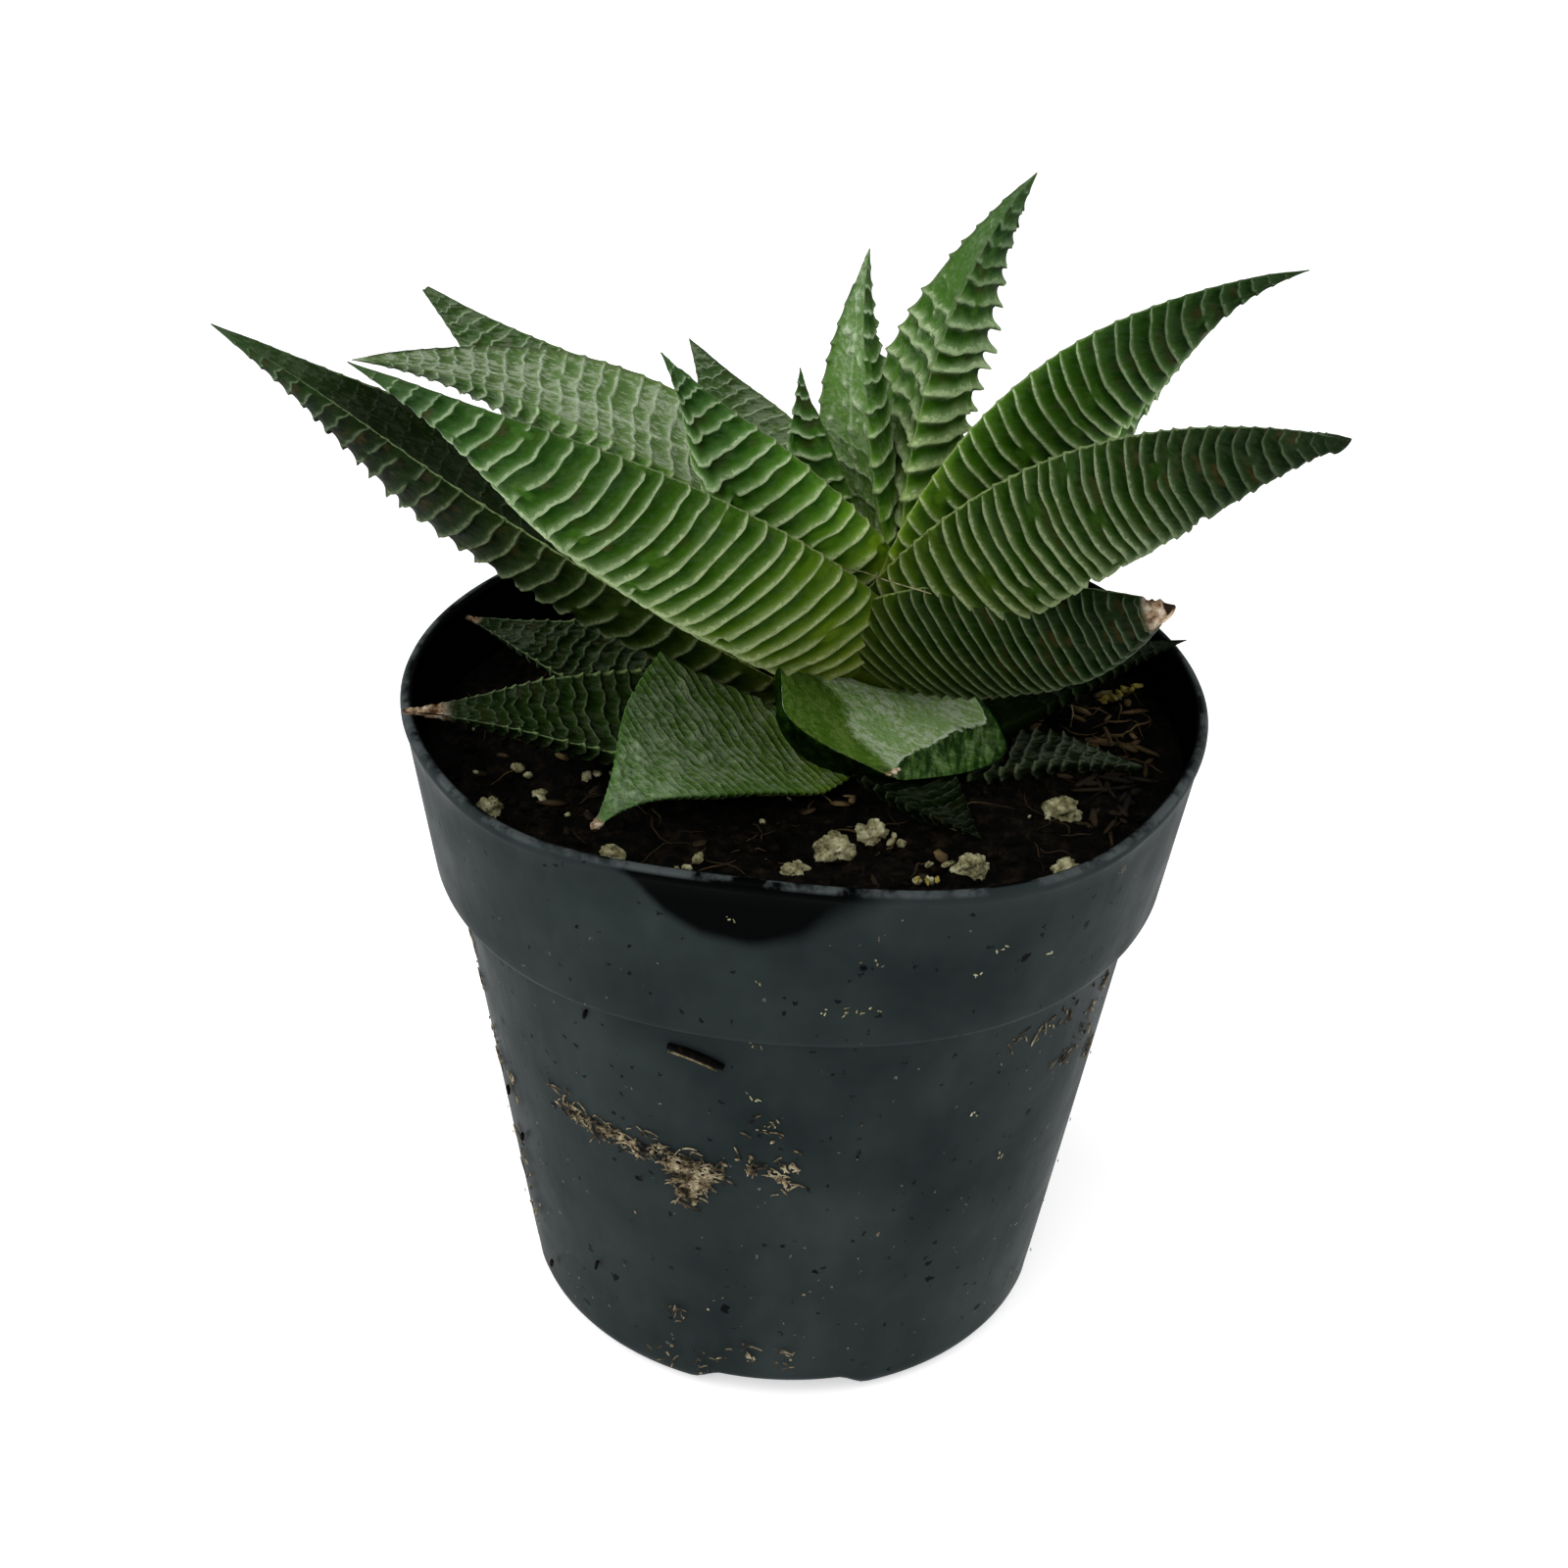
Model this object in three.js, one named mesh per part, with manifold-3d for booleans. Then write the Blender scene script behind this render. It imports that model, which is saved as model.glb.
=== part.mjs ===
// A potted haworthia: a loose spiral rosette of keeled leaves with raised cross ridges, growing from a short
// stem that stands in a bed of dark soil in a black moulded nursery pot.
// Units are millimetres and +Z is up. The origin is the middle of the pot's flat underside, on the surface that
// the pot stands on. -Y is the front of the plant.
import * as THREE from "three";
import { mergeVertices } from "three/addons/utils/BufferGeometryUtils.js";
import Module from "manifold-3d";

const wasm = await Module();
wasm.setup();

// Air left between two neighbouring pieces.
const GAP = 0.3;

// The pot: a straight collar, a step under it, a tapering body and a rounded bottom corner.
const POT = {
  height: 92.3,
  rimRadius: 52.5,
  beadHeight: 1.6,
  beadThickness: 1.5,
  collarHeight: 24,
  collarFootRadius: 49,
  stepDrop: 1.2,
  bodyTopRadius: 46.3,
  baseRadius: 36.7,
  cornerRadius: 3.5,
  wall: 0.9,
  floor: 1.4,
  segments: 36,
};

// The soft collar is pressed out of round. Each dent is at an angle in degrees, fades out over a width in
// degrees, and moves the rim in or out by its depth.
const DENTS = [
  { at: -98, width: 25, depth: -2.7 },
  { at: -57, width: 22, depth: 2.7 },
  { at: -130, width: 15, depth: 1.2 },
];
const DENTS_FADE_FROM = 55;

// Four arched channels cross the underside, with a drainage hole in each.
const CHANNEL = { count: 4, width: 23, rise: 2, innerEnd: 15, holeRadius: 4, holeAt: 26, turn: -90 };

// The bed of soil, with its top about 8 mm below the rim.
const SOIL = { bottom: 5, level: 83.6, tilt: 0.028, bump: 0.7, rings: 6, spokes: 24 };

// The stem leans from its foot in the soil to the crown, and thins out on the way.
const STEM = {
  foot: new THREE.Vector3(2, 0, 78),
  crown: new THREE.Vector3(8.5, 2, 113),
  footRadius: 7.5,
  crownRadius: 3.5,
  rootRadius: 2.6,
  rootLength: 34,
  rootCount: 5,
  sides: 8,
};

// Cross ridges of a leaf: their usual spacing, their height above the face, and how far they bend to the tip at
// the keel. They run from one share of the length to another.
const RIDGE = { spacing: 4.3, height: 0.6, bend: 0.9, from: 0.05, to: 0.86 };

// The upper face of a leaf is a shallow channel, this deep as a share of the half width.
const CHANNEL_SHARE = 0.16;
const SPINE_STEPS = 60;

// Usual outline of a leaf: widest at this share of its length, with a keel that runs out by this power, and a tip
// that loses this share of its width and depth over the stretch given.
const WIDEST = 0.25;
const KEEL_POWER = 2;
const SPIKE = { share: 0.35, from: 0.6, to: 0.97 };

// Length between two rings of the plain leaf that a neighbour is cut back from, the fewest such lengths, and how
// much they shrink towards the tip.
const CLEARANCE_STEP = 7.5;
const CLEARANCE_RINGS = 8;
const CLEARANCE_CROWDING = 0.5;

// The leaves, from the heart of the rosette outwards. seat is the height on the stem where the leaf grows, turn its
// direction round the stem (0 is +X, -90 the front), rise its slope at the base, curl and sweep how much rise and
// turn change up to the tip, roll its turn about its own length, and taper the fullness of its outline. Angles are
// in degrees. What isn't usual is given too: the ridges' spacing, the share of the width that the spike at the tip
// loses, where the leaf is widest, how blunt its keel ends, and where a broken tip is cut off.
const LEAVES = [
  {
    seat: 109, turn: 208, rise: 63.5, curl: 17, sweep: 0, length: 29.7, width: 11,
    keel: 4, roll: 10, taper: 1.9,
  },
  {
    seat: 104, turn: 30, rise: 113, curl: -38, sweep: 0, length: 48, width: 15,
    keel: 6, roll: 0, taper: 1.7, spike: 0.2,
  },
  {
    seat: 107, turn: 228, rise: 46.5, curl: 5, sweep: -4, length: 52.5, width: 18,
    keel: 8, roll: 22, taper: 1.6, spike: 0.45,
  },
  {
    seat: 103, turn: 22, rise: 98.5, curl: -52, sweep: -12, length: 61, width: 19,
    keel: 9.5, roll: 0, taper: 1.5, spike: 0.2,
  },
  {
    seat: 104, turn: 131, rise: 35, curl: 0, sweep: 0, length: 42, width: 19,
    keel: 7, roll: -5, taper: 1.8,
  },
  {
    seat: 106, turn: 182, rise: 54, curl: -58, sweep: 4, length: 72, width: 23,
    keel: 8, roll: -5, taper: 2.2,
  },
  {
    seat: 102, turn: -2, rise: 72, curl: -51, sweep: -46, length: 79.5, width: 24,
    keel: 10, roll: -12, taper: 2.3, spike: 0.55,
  },
  {
    seat: 98, turn: 232, rise: 42.5, curl: -10, sweep: -8, length: 97, width: 26,
    keel: 9.5, roll: 24, taper: 1.6, spike: 0.45,
  },
  {
    seat: 98, turn: -36, rise: 57.6, curl: -44, sweep: -32, length: 97, width: 20,
    keel: 12, roll: -12, taper: 2.6, spike: 0.15,
  },
  {
    seat: 101, turn: 25, rise: 42, curl: -14, sweep: 0, length: 58, width: 18,
    keel: 8, roll: 0, taper: 2, ridges: 5.4,
  },
  {
    seat: 103, turn: 153, rise: 20, curl: 2, sweep: -12, length: 77, width: 24,
    keel: 8, roll: -20, taper: 1.7,
  },
  {
    seat: 100, turn: 72, rise: 18, curl: 0, sweep: 6, length: 50, width: 20,
    keel: 8, roll: 0, taper: 2, ridges: 5.4,
  },
  {
    seat: 101, turn: 105, rise: 10, curl: 0, sweep: 0, length: 46, width: 20,
    keel: 8, roll: 0, taper: 2, ridges: 5.4,
  },
  {
    seat: 94, turn: 187, rise: 35.3, curl: -8, sweep: -7, length: 89, width: 21,
    keel: 12, roll: -8, taper: 1.7,
  },
  {
    seat: 99, turn: -20, rise: 26.5, curl: -8.5, sweep: -27.5, length: 46, width: 34,
    keel: 10.5, roll: -31, taper: 2, spike: 0, blunt: 3.5, cut: 0.97,
  },
  {
    seat: 100, turn: 48, rise: 25, curl: 0, sweep: 0, length: 58, width: 20,
    keel: 8, roll: 0, taper: 2, ridges: 5.4,
  },
  {
    seat: 97, turn: 128, rise: 18, curl: 0, sweep: 0, length: 58, width: 20,
    keel: 8, roll: 0, taper: 2, ridges: 5.4,
  },
  {
    seat: 98, turn: -58, rise: -13, curl: -30, sweep: -32, length: 21, width: 35,
    keel: 14, roll: -24, taper: 2.3, widest: 0.6, spike: 0, blunt: 4, ridges: 2.8,
  },
  {
    seat: 93, turn: 92, rise: 4, curl: 0, sweep: 0, length: 50, width: 18,
    keel: 7, roll: 0, taper: 2, ridges: 5.4,
  },
  {
    seat: 93, turn: 50, rise: 8, curl: -6, sweep: 0, length: 55, width: 18,
    keel: 7, roll: 0, taper: 2, ridges: 5.4,
  },
  {
    seat: 93, turn: -140, rise: 9, curl: -30, sweep: 20, length: 44, width: 29,
    keel: 8, roll: -34, taper: 1.15, spike: 0.5, ridges: 3.4,
  },
  {
    seat: 90, turn: 165, rise: -3, curl: 6, sweep: -11, length: 52, width: 17,
    keel: 6, roll: -14, taper: 2, ridges: 3.9,
  },
  {
    seat: 89, turn: 11, rise: 8, curl: 0, sweep: 0, length: 45.3, width: 16,
    keel: 6, roll: 0, taper: 2, ridges: 3.9,
  },
  {
    seat: 90, turn: 199.5, rise: 4.5, curl: 0, sweep: -6, length: 54.5, width: 20,
    keel: 7, roll: -16, taper: 1.3, ridges: 3.9,
  },
  {
    seat: 87, turn: -12, rise: 2, curl: -6, sweep: -4, length: 38.5, width: 15,
    keel: 5, roll: -6, taper: 2.4, ridges: 3.9,
  },
  {
    seat: 88, turn: -57, rise: -4, curl: 0, sweep: 0, length: 31, width: 12,
    keel: 4.5, roll: 0, taper: 2, ridges: 3.9,
  },
];

// Where the larger perlite grains lie in the soil, with their radius.
const GRAINS = [
  { x: 4.3, y: -28.8, radius: 2.4 },
  { x: 9, y: -24, radius: 1.9 },
  { x: 21, y: -32, radius: 2 },
  { x: 33, y: -19.5, radius: 2.2 },
  { x: 32.5, y: -33, radius: 1.6 },
  { x: -0.5, y: -33, radius: 1.5 },
  { x: -39.5, y: -20, radius: 1.9 },
  { x: -23, y: -30.5, radius: 1.6 },
  { x: 24, y: 31, radius: 2.1 },
];

const blackPlastic = new THREE.MeshStandardMaterial({ color: 0x1d2327, roughness: 0.38, metalness: 0 });
const darkSoil = new THREE.MeshStandardMaterial({ color: 0x14100d, roughness: 0.95, metalness: 0 });
const paleStem = new THREE.MeshStandardMaterial({ color: 0x8f8a4e, roughness: 0.7, metalness: 0 });
const leafGreen = new THREE.MeshStandardMaterial({ color: 0x3d6b2c, roughness: 0.5, metalness: 0 });
const grainCream = new THREE.MeshStandardMaterial({ color: 0xd9cfae, roughness: 0.9, metalness: 0 });

const radians = THREE.MathUtils.degToRad;
const clamp = THREE.MathUtils.clamp;

// Turns a closed geometry into a solid. Shared points are merged first, and triangles that this leaves without
// an area, at the poles of a turned shape, are dropped.
function solidOf(geometry) {
  const bare = new THREE.BufferGeometry();
  bare.setAttribute("position", geometry.getAttribute("position"));
  bare.setIndex(geometry.getIndex());
  const merged = mergeVertices(bare, 1e-4);
  const corners = merged.getIndex().array;
  const kept = [];
  for (let i = 0; i < corners.length; i += 3) {
    const [a, b, c] = [corners[i], corners[i + 1], corners[i + 2]];
    if (a !== b && b !== c && c !== a) kept.push(a, b, c);
  }
  const mesh = new wasm.Mesh({
    numProp: 3,
    vertProperties: merged.getAttribute("position").array,
    triVerts: new Uint32Array(kept),
  });
  return new wasm.Manifold(mesh);
}

// A cut can leave loose scraps, so only the largest body is kept.
function largestBody(solid) {
  return solid.decompose().sort((a, b) => b.volume() - a.volume())[0];
}

// A named mesh of a finished solid.
function meshOf(name, solid, material) {
  const made = solid.getMesh();
  const geometry = new THREE.BufferGeometry();
  const points = new Float32Array(made.numVert * 3);
  for (let i = 0; i < made.numVert; i++) {
    points.set(made.vertProperties.subarray(i * made.numProp, i * made.numProp + 3), i * 3);
  }
  geometry.setAttribute("position", new THREE.BufferAttribute(points, 3));
  geometry.setIndex(new THREE.BufferAttribute(made.triVerts, 1));
  geometry.computeVertexNormals();
  const mesh = new THREE.Mesh(geometry, material);
  mesh.name = name;
  return mesh;
}

// Closes rings of points, all of one size, into a body: side faces between the rings and a fan on each end.
function loft(rings) {
  const count = rings[0].length;
  const points = rings.flat();
  const faces = [];
  for (let r = 0; r + 1 < rings.length; r++) {
    for (let i = 0; i < count; i++) {
      const a = r * count + i;
      const b = r * count + ((i + 1) % count);
      faces.push(a, b, b + count, a, b + count, a + count);
    }
  }
  for (const [ring, outward] of [[0, -1], [rings.length - 1, 1]]) {
    const middle = new THREE.Vector3();
    rings[ring].forEach((point) => middle.addScaledVector(point, 1 / count));
    const hub = points.push(middle) - 1;
    for (let i = 0; i < count; i++) {
      const a = ring * count + i;
      const b = ring * count + ((i + 1) % count);
      faces.push(...(outward > 0 ? [a, b, hub] : [b, a, hub]));
    }
  }
  const geometry = new THREE.BufferGeometry();
  geometry.setAttribute("position", new THREE.Float32BufferAttribute(points.flatMap((p) => p.toArray()), 3));
  geometry.setIndex(faces);
  return geometry;
}

// How far the collar's dents move a point of the pot in or out, at an angle and a height.
function dentAt(angle, z) {
  const share = THREE.MathUtils.smoothstep(z, DENTS_FADE_FROM, POT.height);
  let offset = 0;
  for (const dent of DENTS) {
    const away = THREE.MathUtils.euclideanModulo(THREE.MathUtils.radToDeg(angle) - dent.at + 180, 360) - 180;
    offset += dent.depth * Math.exp(-((away / dent.width) ** 2));
  }
  return offset * share;
}

// The pot's outer radius at a height, without the dents.
function potRadius(z) {
  const collarFoot = POT.height - POT.collarHeight;
  if (z > collarFoot) {
    return THREE.MathUtils.mapLinear(z, collarFoot, POT.height, POT.collarFootRadius, POT.rimRadius);
  }
  return THREE.MathUtils.mapLinear(z, 0, collarFoot - POT.stepDrop, POT.baseRadius, POT.bodyTopRadius);
}

// Turns a profile of [radius, height] pairs about the pot's axis and presses the collar's dents into it.
function turned(profile) {
  const outline = profile.map(([r, z]) => new THREE.Vector2(r, z));
  const geometry = new THREE.LatheGeometry(outline, POT.segments);
  geometry.rotateX(Math.PI / 2);
  const position = geometry.getAttribute("position");
  for (let i = 0; i < position.count; i++) {
    const [x, y, z] = [position.getX(i), position.getY(i), position.getZ(i)];
    const radius = Math.hypot(x, y);
    if (radius < 1) continue;
    const moved = 1 + dentAt(Math.atan2(y, x), z) / radius;
    position.setXY(i, x * moved, y * moved);
  }
  return geometry;
}

// One arched channel under the floor: a round-topped block from the middle out past the rim of the base.
function channelBlock(turn, width, height, innerEnd, outerEnd) {
  const outline = new THREE.Shape();
  outline.moveTo(-width / 2, -1);
  outline.lineTo(width / 2, -1);
  outline.quadraticCurveTo(width / 2, height, width / 4, height);
  outline.lineTo(-width / 4, height);
  outline.quadraticCurveTo(-width / 2, height, -width / 2, -1);
  const block = new THREE.ExtrudeGeometry(outline, {
    depth: outerEnd - innerEnd,
    bevelEnabled: false,
    curveSegments: 3,
  });
  block.rotateX(Math.PI / 2);
  block.translate(0, outerEnd, 0);
  block.rotateZ(radians(turn - 90));
  return solidOf(block);
}

// The pot: a thin shell with a beaded rim, a floor that steps up over the channels, and the drainage holes.
function makePot() {
  const collarFoot = POT.height - POT.collarHeight;
  const bodyTop = collarFoot - POT.stepDrop;
  const { wall, floor, cornerRadius, beadHeight, beadThickness } = POT;
  const outer = [[0, 0]];
  for (const part of [0, 0.5, 1]) {
    const angle = (part * Math.PI) / 2;
    outer.push([
      POT.baseRadius - cornerRadius * (1 - Math.sin(angle)),
      cornerRadius * (1 - Math.cos(angle)),
    ]);
  }
  outer.push(
    [POT.bodyTopRadius, bodyTop],
    [POT.collarFootRadius - 0.6, collarFoot - 0.3],
    [POT.collarFootRadius, collarFoot + 0.6],
    [POT.rimRadius - 0.1, POT.height - beadHeight],
    [POT.rimRadius + 0.1, POT.height - beadHeight / 2],
    [POT.rimRadius - 0.4, POT.height],
  );
  const inner = [
    [POT.rimRadius - beadThickness, POT.height],
    [POT.rimRadius - beadThickness, POT.height - beadHeight],
    [POT.collarFootRadius - wall, collarFoot + 0.9],
    [POT.bodyTopRadius - wall, bodyTop + 0.6],
    [POT.baseRadius - wall + 0.2, cornerRadius],
    [POT.baseRadius - cornerRadius, floor],
    [0, floor],
  ];
  let pot = solidOf(turned([...outer, ...inner]));
  const body = solidOf(turned([...outer.slice(0, 5), [0, bodyTop]]));
  for (let i = 0; i < CHANNEL.count; i++) {
    const turn = CHANNEL.turn + (360 / CHANNEL.count) * i;
    const cover = channelBlock(
      turn, CHANNEL.width + 2 * wall, CHANNEL.rise + wall, CHANNEL.innerEnd - wall, POT.baseRadius,
    );
    pot = pot.add(cover.intersect(body).subtract(belowFloor()));
  }
  for (let i = 0; i < CHANNEL.count; i++) {
    const turn = CHANNEL.turn + (360 / CHANNEL.count) * i;
    pot = pot.subtract(
      channelBlock(turn, CHANNEL.width, CHANNEL.rise, CHANNEL.innerEnd, POT.baseRadius + 5),
    );
    const hole = new THREE.CylinderGeometry(CHANNEL.holeRadius, CHANNEL.holeRadius, 20, 16);
    hole.rotateX(Math.PI / 2);
    hole.translate(CHANNEL.holeAt, 0, 0);
    hole.rotateZ(radians(turn));
    pot = pot.subtract(solidOf(hole));
  }
  return largestBody(pot);
}

// Everything under the top of the floor's lower half, so that a channel's cover doesn't reach below the base.
function belowFloor() {
  const slab = new THREE.BoxGeometry(200, 200, 20);
  slab.translate(0, 0, POT.floor / 2 - 10);
  return solidOf(slab);
}

// The height of the soil's uneven top, a little higher to the right.
function soilHeight(x, y) {
  const swell = Math.sin(x / 8 + 1) * Math.cos(y / 7) + 0.5 * Math.sin(x / 3.3 + y / 4.1);
  return SOIL.level + SOIL.tilt * x + SOIL.bump * swell;
}

// The bed of soil: it follows the inside of the pot, with a small gap, and its top is a fine uneven field.
// lift raises the top, for the shape that the leaves are cut back from.
function makeSoil(lift) {
  const collarFoot = POT.height - POT.collarHeight;
  const levels = [SOIL.bottom, SOIL.bottom + 2, collarFoot - POT.stepDrop, collarFoot + 1.2, SOIL.level - 6];
  const inset = POT.wall + 1.1;
  const ring = (radiusAt, heightAt) =>
    Array.from({ length: SOIL.spokes }, (_, i) => {
      const angle = (i / SOIL.spokes) * 2 * Math.PI;
      const radius = radiusAt(angle);
      const [x, y] = [radius * Math.cos(angle), radius * Math.sin(angle)];
      return new THREE.Vector3(x, y, heightAt(x, y));
    });
  const rings = levels.map((z, i) =>
    ring((angle) => potRadius(z) - inset - (i === 0 ? 2 : 0) + dentAt(angle, z), () => z),
  );
  for (let i = 0; i < SOIL.rings; i++) {
    const share = 1 - i / SOIL.rings;
    rings.push(
      ring(
        (angle) => (potRadius(SOIL.level) - inset + dentAt(angle, SOIL.level)) * share,
        (x, y) => soilHeight(x, y) + lift - (i === 0 ? 0.8 : 0),
      ),
    );
  }
  return solidOf(loft(rings));
}

// A point on the stem's leaning axis, and its radius there.
function stemAxis(z) {
  const share = (z - STEM.foot.z) / (STEM.crown.z - STEM.foot.z);
  return STEM.foot.clone().lerp(STEM.crown, share);
}

function stemRadius(z) {
  const share = clamp((z - STEM.foot.z) / (STEM.crown.z - STEM.foot.z), 0, 1);
  return THREE.MathUtils.lerp(STEM.footRadius, STEM.crownRadius, share);
}

// A round ring of points about a centre, square to a direction.
function roundRing(centre, direction, radius, sides) {
  const turn = new THREE.Quaternion().setFromUnitVectors(new THREE.Vector3(0, 0, 1), direction);
  return Array.from({ length: sides }, (_, i) => {
    const angle = (i / sides) * 2 * Math.PI;
    const arm = new THREE.Vector3(radius * Math.cos(angle), radius * Math.sin(angle), 0);
    return arm.applyQuaternion(turn).add(centre);
  });
}

// The short stem with its fleshy roots, as one body. grow makes it that much fatter, for the hole in the soil.
function makeStem(grow) {
  const lean = STEM.crown.clone().sub(STEM.foot).normalize();
  const heights = [STEM.foot.z - 8, STEM.foot.z - 3, 96, STEM.crown.z - 2, STEM.crown.z];
  const shrink = [0.45, 0.95, 1, 0.9, 0.45];
  const rings = heights.map((z, i) => {
    const end = i === 0 ? -grow : i === heights.length - 1 ? grow : 0;
    const centre = stemAxis(z).addScaledVector(lean, end);
    return roundRing(centre, lean, stemRadius(z) * shrink[i] + grow, STEM.sides);
  });
  let stem = solidOf(loft(rings));
  for (let i = 0; i < STEM.rootCount; i++) {
    const angle = ((i + 0.3) / STEM.rootCount) * 2 * Math.PI;
    const out = new THREE.Vector3(Math.cos(angle), Math.sin(angle), 0);
    const root = [];
    for (const share of [0, 0.3, 0.65, 1]) {
      const slope = new THREE.Vector3(0, 0, -1).addScaledVector(out, 0.9 - 0.6 * share).normalize();
      const centre = stemAxis(STEM.foot.z - 3)
        .addScaledVector(out, 2 + 17 * share)
        .add(new THREE.Vector3(0, 0, -STEM.rootLength * share ** 1.3));
      const end = share === 1 ? grow : 0;
      centre.addScaledVector(slope, end);
      root.push(roundRing(centre, slope, STEM.rootRadius * (1 - 0.75 * share) + grow, 5));
    }
    stem = stem.add(solidOf(loft(root)));
  }
  return stem;
}

// The width of a leaf at a share of its length, against its full width: it swells a little and then tapers.
function leafWidth(leaf, share) {
  const widest = leaf.widest ?? WIDEST;
  if (share < widest) return 1 - 0.14 * (1 - share / widest) ** 2;
  return (1 - ((share - widest) / (1 - widest)) ** leaf.taper) * spikeShare(leaf, share);
}

// The keel's depth at a share of the leaf's length, against its full depth.
function keelDepth(leaf, share) {
  const deepest = 0.4;
  if (share < deepest) return 1 - 0.4 * (1 - share / deepest) ** 2;
  return (1 - ((share - deepest) / (1 - deepest)) ** (leaf.blunt ?? KEEL_POWER)) * spikeShare(leaf, share);
}

// What the spike at the tip leaves of the width and of the depth.
function spikeShare(leaf, share) {
  return 1 - (leaf.spike ?? SPIKE.share) * THREE.MathUtils.smoothstep(share, SPIKE.from, SPIKE.to);
}

// The frames along the middle line of a leaf: a centre, a direction to one margin, and one out of the upper face.
function leafSpine(leaf) {
  const turn = radians(leaf.turn);
  const outward = new THREE.Vector3(Math.cos(turn), Math.sin(turn), 0);
  const centre = stemAxis(leaf.seat).addScaledVector(outward, stemRadius(leaf.seat) / 2);
  const frames = [];
  for (let i = 0; i <= SPINE_STEPS; i++) {
    const share = i / SPINE_STEPS;
    const rise = radians(leaf.rise + leaf.curl * share);
    const heading = radians(leaf.turn + leaf.sweep * share);
    const along = new THREE.Vector3(
      Math.cos(rise) * Math.cos(heading),
      Math.cos(rise) * Math.sin(heading),
      Math.sin(rise),
    );
    const side = new THREE.Vector3(-Math.sin(heading), Math.cos(heading), 0);
    const up = new THREE.Vector3().crossVectors(along, side);
    const roll = radians(leaf.roll);
    const rolledSide = side.clone().multiplyScalar(Math.cos(roll)).addScaledVector(up, Math.sin(roll));
    const rolledUp = up.clone().multiplyScalar(Math.cos(roll)).addScaledVector(side, -Math.sin(roll));
    frames.push({ centre: centre.clone(), side: rolledSide, up: rolledUp });
    centre.addScaledVector(along, leaf.length / SPINE_STEPS);
  }
  return frames;
}

// A point of the leaf, across and up from its middle line at a share of its length.
function onSpine(frames, share, across, up) {
  const at = clamp(share, 0, 1) * SPINE_STEPS;
  const low = Math.min(Math.floor(at), SPINE_STEPS - 1);
  const mix = at - low;
  const blend = (key) => frames[low][key].clone().lerp(frames[low + 1][key], mix);
  return blend("centre").addScaledVector(blend("side"), across).addScaledVector(blend("up"), up);
}

// The cross-section of a leaf, once round: two margins, a channelled upper face and two flanks that meet in the
// keel. across is a share of the half width, up a share of the channel's or the keel's depth, and out the way in
// which a ridge lifts the point.
const SECTION = [
  { across: 1, channel: 0, keel: 0, out: [0.6, 0.3] },
  { across: 0.45, channel: 1, keel: 0, out: [0, 0.5] },
  { across: -0.45, channel: 1, keel: 0, out: [0, 0.5] },
  { across: -1, channel: 0, keel: 0, out: [-0.6, 0.3] },
  { across: -0.62, channel: 0, keel: 0.62, out: [-0.55, -0.8] },
  { across: 0, channel: 0, keel: 1, out: [0, -1] },
  { across: 0.62, channel: 0, keel: 0.62, out: [0.55, -0.8] },
];

// One ring of the leaf. lift is the ridge's height there, and grow fattens the whole section.
function leafRing(leaf, frames, share, lift, grow, wave) {
  const half = Math.max((leaf.width / 2) * leafWidth(leaf, share), 0.5);
  const depth = Math.max(leaf.keel * keelDepth(leaf, share), 0.5);
  return SECTION.map((point, i) => {
    const reach = lift + 1.6 * grow;
    const across = half * point.across + reach * point.out[0];
    const up = reach * point.out[1] - half * CHANNEL_SHARE * point.channel - depth * point.keel;
    const bend = wave ? RIDGE.bend * point.keel + 0.25 * Math.sin(2.1 * i + 1.7 * wave) : 0;
    return onSpine(frames, share + bend / leaf.length, across, up);
  });
}

// A leaf with its cross ridges: a valley ring and a crest ring for each ridge, then a plain tip.
function makeLeaf(leaf) {
  const frames = leafSpine(leaf);
  const spacing = leaf.ridges ?? RIDGE.spacing;
  const count = Math.round((leaf.length * (RIDGE.to - RIDGE.from)) / spacing);
  const height = RIDGE.height * Math.min(1, spacing / RIDGE.spacing);
  const rings = [leafRing(leaf, frames, 0, 0, 0, 0)];
  for (let i = 0; i < count; i++) {
    for (const [part, lift] of [[0, 0], [0.5, height]]) {
      const even = (i + part) / count;
      const share = THREE.MathUtils.lerp(RIDGE.from, RIDGE.to, even + 0.2 * even * (1 - even));
      rings.push(leafRing(leaf, frames, share, lift * (1 - 0.3 * share), 0, i + 1));
    }
  }
  const end = leaf.cut ?? 0.985;
  for (const share of [RIDGE.to + 0.01, (RIDGE.to + end) / 2, end]) {
    rings.push(leafRing(leaf, frames, share, 0, 0, 0));
  }
  return solidOf(loft(rings));
}

// The space that an inner leaf needs: the same leaf, plain, with few rings, fatter by a ridge and the gap. The rings
// crowd towards the tip, where the outline bends most.
function leafClearance(leaf) {
  const frames = leafSpine(leaf);
  const count = Math.max(Math.ceil(leaf.length / CLEARANCE_STEP), CLEARANCE_RINGS);
  const grow = RIDGE.height + GAP;
  const rings = [];
  for (let i = 0; i <= count; i++) {
    const even = i / count;
    rings.push(leafRing(leaf, frames, even + CLEARANCE_CROWDING * even * (1 - even), 0, grow, 0));
  }
  return solidOf(loft(rings));
}

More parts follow.
